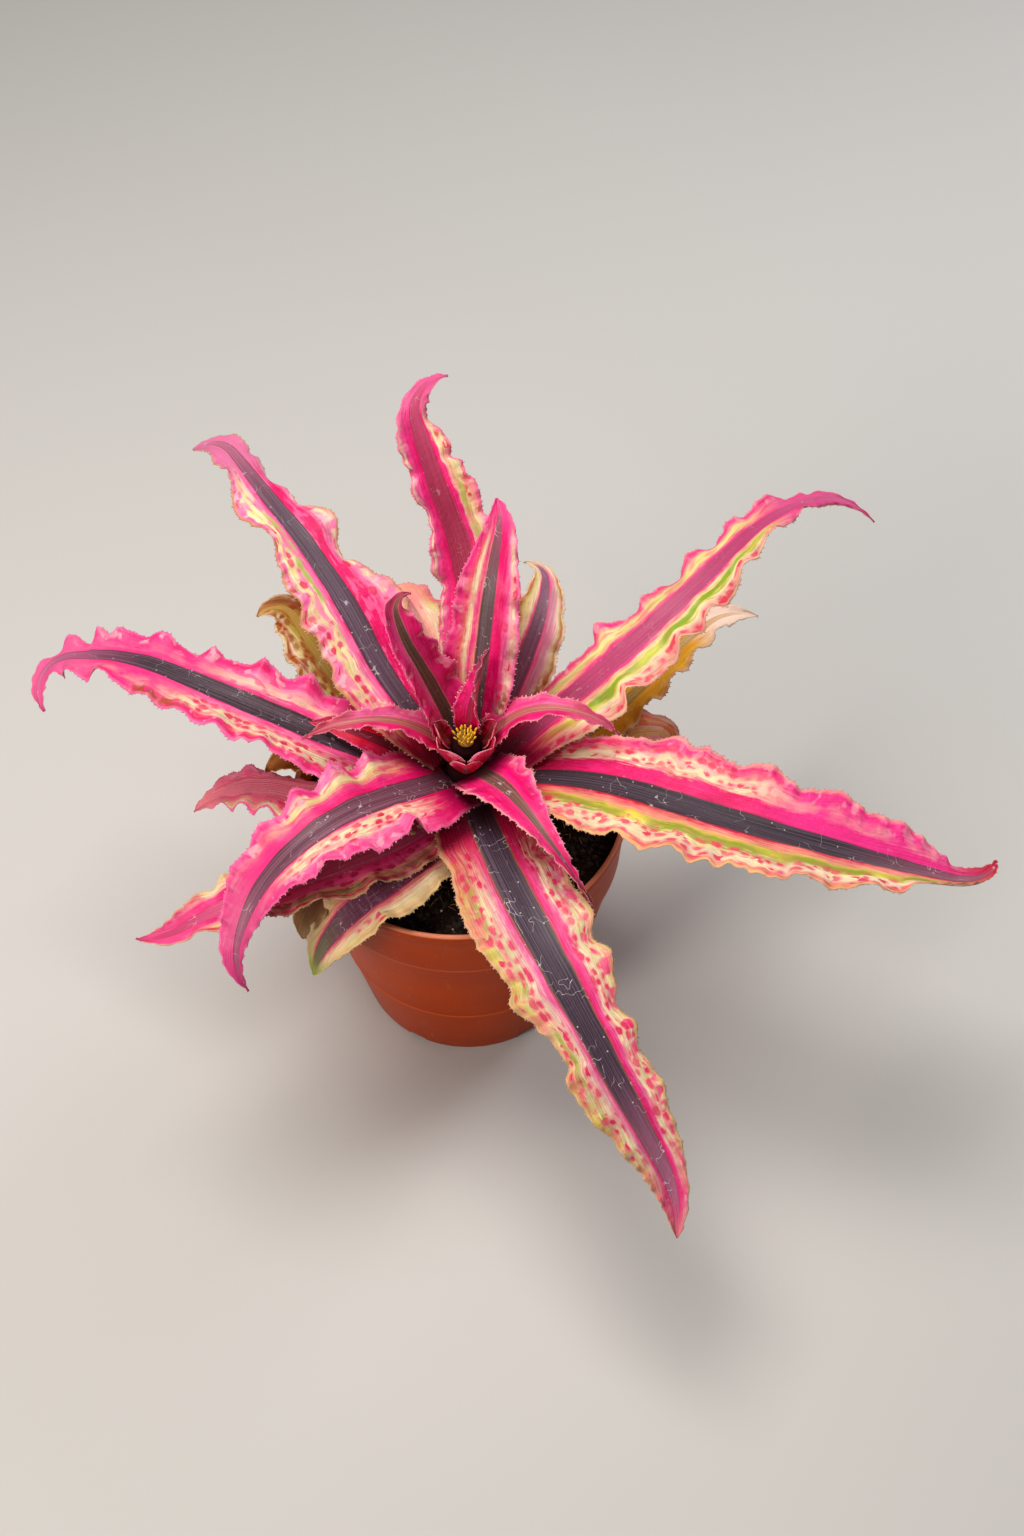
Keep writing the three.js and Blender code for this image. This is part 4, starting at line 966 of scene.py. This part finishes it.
# Pink blotches break up the pale bands, and past a place the bands turn pink.
share = own("flush")
blotches = ease(grain(run, (0.13, 0.5, 1)), 0.5, 0.59) * share
patches = (ease(grain(run, (0.17, 0.1, 1)), 0.5, 0.56) * ease(band, 0.66, 0.84)
           * ease(share, 0.0, 0.7))
pale_end = own("pale")
turned = (ease(along, pale_end, pale_end + 0.12)
          * span(grain(run, (0.16, 0.35, 1), 3), 0.72, 1.0, 0.35, 0.65))
colour = blend(calc("MAXIMUM", calc("MAXIMUM", blotches, patches), turned), colour, given.flush)
# Painted highlights: pale patches near the margin, for the gloss on the frills.
margin_highlights = ease(grain(run, (0.24, 0.2, 1)), 0.54, 0.64) * ease(band, 0.55, 0.8) * share
colour = blend(margin_highlights * 0.8, colour, "fbc8cc")
# Rows of blurred red spots of uneven size and strength, each in a pink halo.
drift = wire("ShaderNodeTexNoise", ("Vector", run), ("Scale", 0.8), ("Detail", 3.0))[1]
distance, luck, size, strength = cells(
    vector("ADD", vector("MULTIPLY", run, (0.27, 0.44, 1)),
           vector("MULTIPLY", drift, (0.5, 0.5, 0))), 1.0, 0.8)
crowd = span(grain(run, (0.12, 0.3, 1), 1), 0.45, 1.25, 0.35, 0.65)
zone = ((luck < own("spots") * crowd) * within(along, 0.04, pale_end, 0.1)
        * within(band, given.spots_from, given.spots_to, 0.08))
size = span(size, 0.22, 0.5)
colour = blend(ease(distance, size + 0.26, size) * zone * 0.4, colour, given.flush)
dots = ease(distance, size + 0.05, size - 0.14) * zone * span(strength, 0.6, 1.0)
colour = blend(dots, colour, given.spot)
# A brown, scorched patch on a margin.
scorch = (ease(abs(from_root - own("scorch")), 0.1, 0.03) * ease(band, 0.6, 0.85)
          * ease(grain(run, (0.3, 0.5, 1), 3), 0.4, 0.52))
colour = blend(scorch * 0.85, colour, "a04c14")
# Strong colour at the root and the tip, and a rim at the margin.
colour = blend(ease(along, given.root_length, given.root_length * 0.3), colour, given.root)
colour = blend(ease(along, given.tip_start, given.tip_start + 0.14), colour, given.tip)
rim = ease((given.streak - 0.5) * 0.12 + across, 0.9, 0.985)
colour = blend(rim * given.rim_share, colour, given.rim)
# The stripe on the midrib, with fine lines, cloudy bars and a border, turns paler at the tip.
width = given.stripe_width
lines = ease(grain(run, (0.012, 2.6, 1)), 0.44, 0.62)
bars = ease(grain(run, (0.9, 0.14, 1), 3), 0.52, 0.66)
stripe = blend(lines * 0.6, given.stripe, given.stripe_line)
stripe = blend(bars * given.bars, stripe, "b39aa0")
stripe = blend(ease(along, 0.62, 0.98), stripe, given.stripe_end)
stripe = blend(ease(given.line, width * 0.84, width), stripe, given.stripe_edge)
on_stripe = ease(given.line, width + 0.03, width - 0.015)
colour = blend(on_stripe * ease(from_root, 1.0, 0.9), colour, stripe)
# Painted shade: a dark foot on each blade, deep in the rosette.
colour = blend(ease(from_root, 0.14, 0.02) * 0.8, colour, "3a0614")
# White scratches and dots of scurf, most of them on the stripe.
scratches = (ease(abs(grain(run, (0.2, 0.26, 1), 1) - 0.5), 0.007, 0.002)
             * ease(grain(run, (0.13, 0.1, 3), 1), 0.53, 0.57))
distance, luck, *_ = cells(run, 0.5, 1.0)
scurf = calc("MAXIMUM", scratches, ease(distance, 0.14, 0.08) * (luck < 0.05))
colour = blend(scurf * (on_stripe * 0.75 + 0.12) * given.scurf, colour, "dcd4d4")
# The underside is dulled by silvery scales, and the teeth are pale.
under = ease(upper, 0.45, 0.1)
scales = (grain(run, (2.2, 2.2, 1)) * 0.4 + 0.3) * given.scales
colour = blend(under * scales, colour, "b9a08c")
colour = blend(ease(across, 1.04, 1.2), colour, "f3b9ac")
# Fine ribs, pits, and folds that deepen to the margin.
folds = grain(run, (0.16, 0.22, 1)) * span(across, 0.6, 4.5, 0.3, 0.9)
feed(result, colour=colour, roughness=under * 0.2 + span(given.streak, 0.32, 0.48),
     height=grain(run, (0.7, 0.7, 1)) * 0.6 + grain(run, (0.02, 2.6, 1), 3) + folds)
leaf_paint = tree


def band_ramp(value, bands):
    """The colour of one half of the blade from its list of bands."""
    ramp = tree.nodes.new("ShaderNodeValToRGB")
    put(value, ramp.inputs[0])
    stops = ramp.color_ramp.elements
    while len(stops) < len(bands):
        stops.new(0.5)
    for stop, (at, code) in zip(stops, bands):
        stop.position = at
        stop.color = srgb(code)
    return Link(ramp.outputs[0])


def field(name):
    """The place stored on the piece under that name."""
    made = tree.nodes.new("ShaderNodeAttribute")
    made.attribute_name = name
    return Link(made.outputs["Vector"])


def leaf_material(name, look):
    """The blade's paint: its bands by side, then the shared leaf paint, on a satin shader."""
    look = {**PLAIN, **look}
    material, shader = surface(name, Specular_IOR_Level=0.2, Coat_Weight=0.1, Coat_Roughness=0.22)
    places = [(key, field(key)) for key in PLACES]
    bands = dict(zip(BANDS, wire("ShaderNodeGroup", *places, node_tree=leaf_bands)))
    sides = [(key.replace("_", " "), band_ramp(bands["band"], look[key[:-6]])) for key in SIDES]
    values = [(key.replace("_", " "), look[key]) for key in PLAIN]
    colour, roughness, height = wire("ShaderNodeGroup", *places, *bands.items(), *sides, *values,
                                     node_tree=leaf_paint)
    feed(shader, Base_Color=colour, Roughness=roughness)
    raised(shader, height, 0.0003)
    return material


def both(**values):
    """The same values on the left and the right half of a blade."""
    return {side + key: value for key, value in values.items() for side in ("left_", "right_")}


# The paint of each leaf, where it isn't plain. left and right are the bands of each half: (share
# of the way from midrib to margin, colour). Shares along the blade go from root to tip.
#   stripe       colour of the stripe, of its lines, edge and end, and its share of the half width
#   root, tip    colours of the ends, and how far they reach
#   pale         where the pale bands end; flush is the share of pink blotches in them, and pink
#   spots        share of cells with a spot, and how far across they lie from and to
#   green        strength of a green line, where across it lies, and from and to along the blade
#   scorch       where along a margin it is scorched, below 0 for nowhere
#   rim, scurf   the margin's colour and strength; how white the scratches and dots are
#   bars, scales strength of cloudy bars on the stripe, and of the silver on the underside
LOOKS = {
    "leaf_west": dict(slot="leaf_pink", tip="e2588e", tip_start=0.72,
        stripe_end="c2668c", stripe_width=0.23, left_spots=1.0, spots_from=0.42, spots_to=0.78,
        left_pale=0.5, right_pale=0.46, left_flush=0.5, right_flush=0.7, left_scorch=0.6,
        left=[(0.22, ROSE), (0.34, PINK), (0.44, "f7a49c"), (0.54, CREAM), (0.7, CREAM),
              (0.79, CORAL), (0.87, HOT), (1, PINK)],
        right=[(0.22, HOT), (0.32, PINK), (0.44, "f9c4a8"), (0.54, "f8a8a8"), (0.66, PINK),
               (0.84, HOT), (1, "f05088")]),
    "leaf_northwest": dict(slot="leaf_pink", tip="d8709a", tip_start=0.7,
        stripe="4e3846", stripe_line="80687a", stripe_end="bc6a86", left_spots=0.6,
        right_spots=0.15, left_green=1.0, green_middle=0.44, green="a3b24a", green_from=0.36,
        green_to=0.62, left_flush=0.8, right_flush=0.6, flush=PINK, rim=TAN,
        left=[(0.24, ROSE), (0.36, PINK), (0.46, CREAM), (0.66, BUTTER), (0.8, CREAM),
              (0.88, HOT), (1, TAN)],
        right=[(0.22, HOT), (0.55, HOT), (0.7, PINK), (0.86, CREAM), (1, SALMON)]),
    "leaf_north": dict(slot="leaf_plum", stripe="aa3252", stripe_line="862844",
        stripe_width=0.34, stripe_edge="b83058", tip="dc5a90", tip_start=0.8, right_spots=0.7,
        spots_from=0.7, spots_to=0.92, spot="c8482a", scurf=0.2, left_flush=0.5,
        right_green=0.8, green="a8a83c", green_middle=0.6, green_from=0.3, green_to=0.75,
        stripe_end="c24870", left_pale=0.75,
        left=[(0.34, HOT), (0.62, ROSE), (0.8, PINK), (0.9, CREAM), (1, SALMON)],
        right=[(0.34, HOT), (0.46, ROSE), (0.56, CREAM), (0.74, BUTTER), (0.88, CREAM),
               (1, OCHRE)]),
    "leaf_northeast": dict(slot="leaf_plum", stripe="b8426e", stripe_line="9c3862",
        stripe_width=0.29, stripe_edge="dc3c7c", root=HOT, root_length=0.2, tip="dc4484",
        tip_start=0.68, right_spots=1.0, spots_from=0.77, spots_to=0.9, spot="e0384c",
        right_green=1.0, left_green=0.35, green="8aa526", green_middle=0.54, green_to=0.6,
        scurf=0.25, left_flush=0.5, right_flush=0.1, stripe_end="cc4c80", left_pale=0.64,
        right_pale=0.66, rim=SALMON, rim_share=0.4,
        left=[(0.3, ROSE), (0.38, SALMON), (0.48, BUTTER), (0.64, BUTTER), (0.78, SALMON),
              (0.9, ROSE), (1, PINK)],
        right=[(0.3, ROSE), (0.36, SALMON), (0.44, BUTTER), (0.5, "c8cc44"), (0.62, "d0cc44"),
               (0.7, CREAM), (0.92, SALMON), (1, CREAM)]),
    "leaf_east": dict(slot="leaf_pink", stripe="332630", stripe_line="645260",
        stripe_width=0.2, tip=CRIMSON, tip_start=0.82, left_spots=1.0, right_spots=0.9,
        spots_from=0.58, spots_to=0.88, right_green=0.9, green="8f962a", green_middle=0.52,
        green_from=0.12, green_to=0.8, left_pale=0.46, right_pale=0.94, left_flush=0.35,
        right_flush=0.1, flush="f02a88", rim="eeb088", rim_share=0.5, spot="e03450",
        left=[(0.22, HOT), (0.44, HOT), (0.54, CREAM), (0.68, CREAM), (0.78, SALMON), (0.9, HOT),
              (1, PINK)],
        right=[(0.2, CRIMSON), (0.26, CORAL), (0.36, "f59a80"), (0.44, YELLOW), (0.54, "dcd048"),
               (0.6, BUTTER), (0.68, CREAM), (0.84, CREAM), (0.93, "ea6c60"), (1, "e8c070")]),
    "leaf_south": dict(slot="leaf_pink", stripe="3a2a38", stripe_line="6c5868",
        stripe_width=0.29, tip="e07a80", tip_start=0.9, left_spots=0.9, right_spots=0.8,
        spots_from=0.5, spots_to=0.88, right_green=0.8, left_green=0.4, green_middle=0.74,
        green_from=0.2, rim="d9b27a", scurf=1.0, left_flush=0.55, right_flush=0.35,
        spot="e2245c", root="c01048", root_length=0.3,
        stripe_end="c07090", stripe_edge="8a5a3c",
        left=[(0.26, HOT), (0.38, ROSE), (0.48, PINK), (0.58, CREAM), (0.8, CREAM),
              (0.94, BUTTER), (1, TAN)],
        right=[(0.26, ROSE), (0.36, PINK), (0.46, "f6c0b4"), (0.56, CREAM), (0.8, BUTTER),
               (0.92, YELLOW), (1, TAN)]),
    "leaf_southwest": dict(slot="leaf_pink", stripe="64384a", stripe_line="946474",
        stripe_width=0.25, root=HOT, root_length=0.24, tip="dc4682", tip_start=0.62,
        left_spots=0.8, spots_from=0.4, spots_to=0.68, left_pale=0.56, right_pale=0.48,
        right_flush=0.7, left_flush=0.5, stripe_end="b2587a",
        left=[(0.26, ROSE), (0.38, CREAM), (0.6, CREAM), (0.72, PINK), (1, ROSE)],
        right=[(0.26, HOT), (0.42, ROSE), (0.54, SALMON), (0.64, BUTTER), (0.78, CREAM),
               (0.88, PINK), (1, PINK)]),
    "leaf_southwest_under": dict(slot="leaf_plum", stripe="c84a78", stripe_line="e47096",
        stripe_width=0.3, stripe_edge=MAGENTA, tip="e64884", tip_start=0.74, left_spots=0.8,
        spot="b81848", scales=0.3, spots_from=0.3, spots_to=0.7, left_green=0.9, green="6f7628",
        green_middle=0.76, rim="d8b07c", stripe_end="b83a62",
        left=[(0.3, "ee2c80"), (0.55, "f65a9c"), (0.66, SALMON), (0.8, BUTTER), (0.88, CRIMSON),
              (1, TAN)],
        right=[(0.3, MAGENTA), (0.6, ROSE), (0.8, CREAM), (1, BUTTER)]),
    "leaf_north_inner": dict(slot="leaf_pink", stripe="584148", stripe_line="77605f",
        stripe_width=0.2, stripe_edge="7a4442", root=HOT, root_length=0.2, tip=ROSE,
        tip_start=0.86, left_spots=0.3, right_spots=0.3, spots_from=0.6, spots_to=0.9,
        right_scorch=0.24,
        left=[(0.2, SALMON), (0.34, ROSE), (0.48, CREAM), (0.62, CORAL), (0.8, ROSE),
              (1, HOT)],
        right=[(0.2, HOT), (0.5, HOT), (0.66, PINK), (0.84, CREAM), (1, PINK)]),
    "leaf_north_short": dict(slot="leaf_cream", stripe="6f4058", stripe_line="8a5a70",
        stripe_width=0.26, stripe_edge="a04a66", root=MAGENTA, root_length=0.1, tip=CREAM,
        tip_start=0.86, rim=CREAM, **both(pale=1.2, flush=0.2), stripe_end="8c5a74",
        right_scorch=0.4, left_scorch=0.6,
        left=[(0.26, ROSE), (0.42, CREAM), (0.7, BUTTER), (0.84, OCHRE), (1, SALMON)],
        right=[(0.26, ROSE), (0.4, "dc7f9a"), (0.6, "e79cb0"), (0.75, CREAM), (0.9, OCHRE),
               (1, SALMON)]),
    "leaf_east_young": dict(slot="leaf_young", stripe="b4605c", stripe_line="dc9488",
        stripe_width=0.3, stripe_edge="b84060", root_length=0.25, tip="d44a70", tip_start=0.6,
        scurf=0.0, rim="f08c9c", stripe_end="c05068",
        left=[(0.3, PINK), (0.6, ROSE), (1, PINK)], right=[(0.3, ROSE), (0.6, HOT), (1, ROSE)]),
    "leaf_west_young": dict(slot="leaf_young", stripe="a85a56", stripe_line="d48c80",
        stripe_width=0.3, stripe_edge="b03c58", root_length=0.25, tip="cc5068", tip_start=0.6,
        scurf=0.0, rim="f08c9c", stripe_end="c05064",
        left=[(0.3, ROSE), (0.6, HOT), (1, ROSE)], right=[(0.3, PINK), (0.6, PINK), (1, PINK)]),
    "leaf_heart": dict(slot="leaf_young", stripe="a02c48", stripe_line="c8486a",
        stripe_width=0.2, stripe_edge="b0203c", root_length=0.35, tip="9c4a60", tip_start=0.6,
        scurf=0.0, stripe_end="9c4a60", left=[(0.3, ROSE), (1, HOT)],
        right=[(0.3, CRIMSON), (1, CRIMSON)]),
    "leaf_northwest_young": dict(slot="leaf_young", stripe="4c3834",
        stripe_line="806050", stripe_width=0.26, stripe_edge="c07a50", root_length=0.2,
        tip="b8485c", tip_start=0.8, scurf=0.2, stripe_end="7a4a44",
        left=[(0.28, PINK), (0.6, ROSE), (1, HOT)], right=[(0.28, ROSE), (0.7, HOT), (1, ROSE)]),
    "leaf_southeast_young": dict(slot="leaf_young", stripe="6c4644",
        stripe_line="a07468", stripe_width=0.24, stripe_edge="e0505c", root=HOT,
        root_length=0.12, tip="b03448", tip_start=0.8, rim="f2949e", stripe_end="8a4450",
        left=[(0.24, ROSE), (0.5, HOT), (0.8, ROSE), (1, PINK)],
        right=[(0.24, ROSE), (0.6, HOT), (0.85, ROSE), (1, SALMON)]),
    "leaf_west_folded": dict(slot="leaf_young", stripe="7a1e34", stripe_line="98304a",
        stripe_width=0.3, stripe_edge="b0142c", root_length=0.2, tip="e0405c", tip_start=0.6,
        left=[(0.5, "e01030"), (1, HOT)], right=[(0.5, "e01030"), (1, HOT)]),
    "leaf_north_pale": dict(slot="leaf_cream", stripe="c88070", stripe_line="dc9a80",
        stripe_width=0.14, stripe_edge=SALMON, root=CRIMSON, root_length=0.3, tip=SALMON,
        left_spots=0.5, right_spots=0.6, spots_from=0.3, spots_to=0.85, spot="cc4828",
        left=[(0.16, SALMON), (0.4, CREAM), (1, SALMON)],
        right=[(0.16, SALMON), (0.4, CREAM), (0.8, YELLOW), (1, SALMON)]),
    "leaf_south_low": dict(slot="leaf_cream", stripe="683a52", stripe_line="84506a",
        stripe_width=0.36, stripe_edge="a02c58", root=OLIVE, root_length=0.3, tip="93a430",
        tip_start=0.84, left_spots=0.3, spots_from=0.6, spots_to=0.9, rim=BUTTER, bars=0.2,
        **both(pale=1.2, flush=0.15), stripe_end="6a7040",
        left=[(0.36, MAGENTA), (0.48, SALMON), (0.6, CREAM), (0.85, BUTTER), (1, TAN)],
        right=[(0.36, MAGENTA), (0.5, SALMON), (0.62, BUTTER), (1, CREAM)]),
    "leaf_west_low": dict(slot="leaf_pink", stripe="ee6e88", stripe_line="fc9cac",
        stripe_width=0.45, stripe_edge="d85c74", root=OLIVE, root_length=0.3, tip="f0848c",
        stripe_end="f0808e", left_spots=0.3, scales=0.2,
        left=[(0.45, "f86484"), (0.7, SALMON), (0.85, CREAM), (1, ROSE)],
        right=[(0.45, "f86484"), (0.75, "fc84a4"), (1, "fd90a8")]),
    "leaf_northwest_low": dict(slot="leaf_olive", stripe="b08a30", stripe_line="c8a44c",
        stripe_width=0.2, stripe_edge="a87c24", root=OLIVE, root_length=0.2, tip="d8b070",
        tip_start=0.9, left_spots=1.0, right_spots=0.6, spots_from=0.25, scales=0.2,
        spot="9a3a0c", rim="ecd0a0", left_flush=0.7, right_flush=0.8, flush="b4581a",
        **both(pale=1.2), stripe_end="c89c50",
        left=[(0.2, "c09a34"), (0.36, "d8c058"), (0.7, CREAM), (0.85, "b87830"), (1, CREAM)],
        right=[(0.2, "c09a34"), (0.45, "a05c14"), (0.7, "8a4408"), (1, "d0a468")]),
    "leaf_northeast_low": dict(slot="leaf_olive", stripe="a8823a", stripe_line="c09a4c",
        stripe_width=0.2, stripe_edge="c09a40", root="eca41c", root_length=0.95, tip="fbdcc8",
        scales=0.1, tip_start=0.72, right_spots=0.2, spot="b0501e", rim="ecc89a",
        **both(pale=1.2, flush=0.0), stripe_end="e0b898",
        left=[(0.22, "e0a030"), (0.6, SALMON), (1, CREAM)],
        right=[(0.22, "e0a030"), (0.5, "e89a1c"), (0.75, "f0c030"), (1, SALMON)]),
    "leaf_east_low": dict(slot="leaf_olive", stripe="d89040", stripe_line="f0b468",
        stripe_width=0.18, stripe_edge="b8502c", root="a06a20", root_length=0.45, tip="f0b0a0",
        tip_start=0.92, rim="f7a0a0", right_spots=0.3, spot="b3402c", left_flush=0.3, scales=0.1,
        right_flush=0.1, **both(pale=1.2), stripe_end="e0a070", left_green=0.8,
        green="9a9030", green_middle=0.45,
        left=[(0.3, "f0643c"), (0.45, "e8a838"), (0.6, "f65a50"), (0.8, BUTTER), (1, ROSE)],
        right=[(0.3, "e0a850"), (0.5, CORAL), (0.8, CREAM), (1, CORAL)]),
    "leaf_west_withered": dict(slot="leaf_withered", stripe="7a3a0c",
        stripe_line="964e16", stripe_width=0.3, stripe_edge="8a4a14", root="2a1408",
        root_length=0.7, tip="b4702c", rim="dcae6a", scurf=0.0,
        **both(pale=1.2, flush=0.0), stripe_end="9a5a20",
        left=[(0.3, "8a3c08"), (0.7, "b4661c"), (1, "d8a058")],
        right=[(0.3, "7a3408"), (0.7, "a05414"), (1, "d8a058")]),
    "leaf_southwest_withered": dict(slot="leaf_withered", stripe="6a4426",
        stripe_line="86603a", stripe_width=0.3, stripe_edge="8a6438", root="4a2f1c",
        root_length=0.4, tip="9a7244", rim="b89a66", scurf=0.0,
        **both(pale=1.2, flush=0.0), stripe_end="8a6438",
        left=[(0.3, "8a5c34"), (0.7, "a07a4c"), (1, "b4915e")],
        right=[(0.3, "7c5230"), (0.7, "94704a"), (1, "b4915e")]),
}

for seed, (node, look) in enumerate(LOOKS.items(), 1):
    ripples = 1.6 if look["slot"] == "leaf_withered" else 1.0
    piece = blade_piece(node + "_blade", FORMS[node], seed, ripples, 0.6)
    piece.data.materials.append(leaf_material(node, look))
    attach(piece, "root")
    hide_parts(node)

# ---------------------------------------------------------------- bracts
# Five small crimson leaves stand round the flower and make its cup. Each is a short blade like
# the others, with a brown stripe and a pale rim, and grows from the top of the stem.

BRACTS = [
    # heading, height on the stem, length, width
    (222, 121.2, 11.5, 10),
    (318, 120.8, 11.5, 10),
    (164, 122.4, 10, 6.5),
    (270, 118.6, 9.5, 9),
    (16, 122, 10, 6.5),
]
BRACT_FORM = dict(rise=[40, 62, 72, 62, 48], widest=0.45, foot=0.75, point=0.65, cup=0.45,
                  wave=[0, 0], left=bulges(0.4, 0.6), right=bulges(0.4, 0.6))
BRACT_LOOK = dict(stripe="70302a", stripe_line="8c4432", stripe_width=0.25, stripe_edge="a01c30",
                  root="5c0a14", root_length=0.3, tip="d83058", tip_start=0.8, rim="f8a0ac",
                  rim_share=0.7, scurf=0.0, scales=0.0, left=[(0.3, "b4142c"), (1, "e42454")],
                  right=[(0.3, "a41028"), (1, "d81c48")])
BRACT_ROW = 0.25
BRACT_COLUMNS = 16

for i, (heading, root, length, width) in enumerate(BRACTS):
    form = dict(BRACT_FORM, root=root, length=length, width=width, turn=[heading] * 5)
    piece = blade_piece(f"bract_{i + 1}_blade", form, 40 + i, 0.3, 0.3, BRACT_ROW, BRACT_COLUMNS)
    piece.data.materials.append(leaf_material(f"bract_{i + 1}", BRACT_LOOK))
    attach(piece, "root")
    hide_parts(f"bract_{i + 1}")

# ---------------------------------------------------------------- flower
# A tuft of yellow stamens fills the cup: thin pale filaments, each with a long pollen-yellow
# anther, close together on a low golden dome.

TUFT_RADIUS = 2.4
TUFT_FOOT = 125.15
FILAMENTS = 32
GOLDEN_TURN = 2.39996
ANTHER_LENGTH = 1.7


def rods(name, centres, axes, lengths, profile, sides=7):
    """Tapered rods: a ring of corners carried along each axis. The profile lists (share of the
    length, radius), and both ends are closed."""
    steps = len(profile)
    helper = np.where(np.abs(axes[:, 2:]) < 0.9, [[0, 0, 1.0]], [[1.0, 0, 0]])
    first = np.cross(axes, helper)
    first /= np.linalg.norm(first, axis=1)[:, None]
    second = np.cross(axes, first)
    turn = np.linspace(0, 2 * math.pi, sides, endpoint=False)
    ring = (first[:, None] * np.cos(turn)[None, :, None]
            + second[:, None] * np.sin(turn)[None, :, None])
    layers = [centres[:, None] + axes[:, None] * (share * lengths)[:, None, None] + ring * radius
              for share, radius in profile]
    inner = np.arange(1, sides - 1)
    foot = np.stack([0 * inner, inner + 1, inner], -1)
    top = (steps - 1) * sides + np.stack([0 * inner, inner, inner + 1], -1)
    offset = steps * sides * np.arange(len(centres))[:, None, None]
    return mesh_piece(name, np.stack(layers, 1).reshape(-1, 3), tube_faces(steps, sides) + offset,
                      np.vstack([foot, top]) + offset)


rng = np.random.default_rng(31)
order = np.arange(FILAMENTS)
share = np.sqrt((order + 0.5) / FILAMENTS)
turn = order * GOLDEN_TURN
lean = np.radians(2 + 22 * share + rng.uniform(-8, 12, FILAMENTS))
axes = np.stack([np.sin(lean) * np.cos(turn), np.sin(lean) * np.sin(turn), np.cos(lean)], -1)
roots = np.stack([STEM_X + 0.75 * TUFT_RADIUS * share * np.cos(turn),
                  STEM_Y + 0.75 * TUFT_RADIUS * share * np.sin(turn),
                  np.full(FILAMENTS, TUFT_FOOT + 0.3)], -1)
tall = rng.uniform(2.3, 3.9, FILAMENTS)
dome_places, dome_quads, dome_caps = spun(
    [(0, TUFT_FOOT), (TUFT_RADIUS - 0.2, TUFT_FOOT), *arc(0, TUFT_FOOT - 1.8, 3.1, 38, 84, 8),
     (0, TUFT_FOOT + 1.3)], 40)
FLOWER = [
    # the piece, its two colours
    (rods("stamen_filaments", roots, axes, tall, [(0, 0.13), (0.5, 0.11), (1, 0.1)]),
     "c9b04a", "f2e3a0"),
    (rods("stamen_anthers", roots + axes * (tall * 0.72)[:, None], axes,
          np.full(FILAMENTS, ANTHER_LENGTH),
          [(0, 0.08), (0.15, 0.3), (0.5, 0.35), (0.85, 0.26), (1, 0.06)]), "e09c08", "ffe23c"),
    (mesh_piece("flower_dome", dome_places + [STEM_X, STEM_Y, 0], dome_quads, dome_caps),
     "8a6410", "c49a24"),
]
for piece, dark, light in FLOWER:
    piece.data.materials.append(mottled(piece.name, dark, light, 0.6, 500, 3000, 0.00008))
    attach(piece, "root")
    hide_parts("flower_tuft")
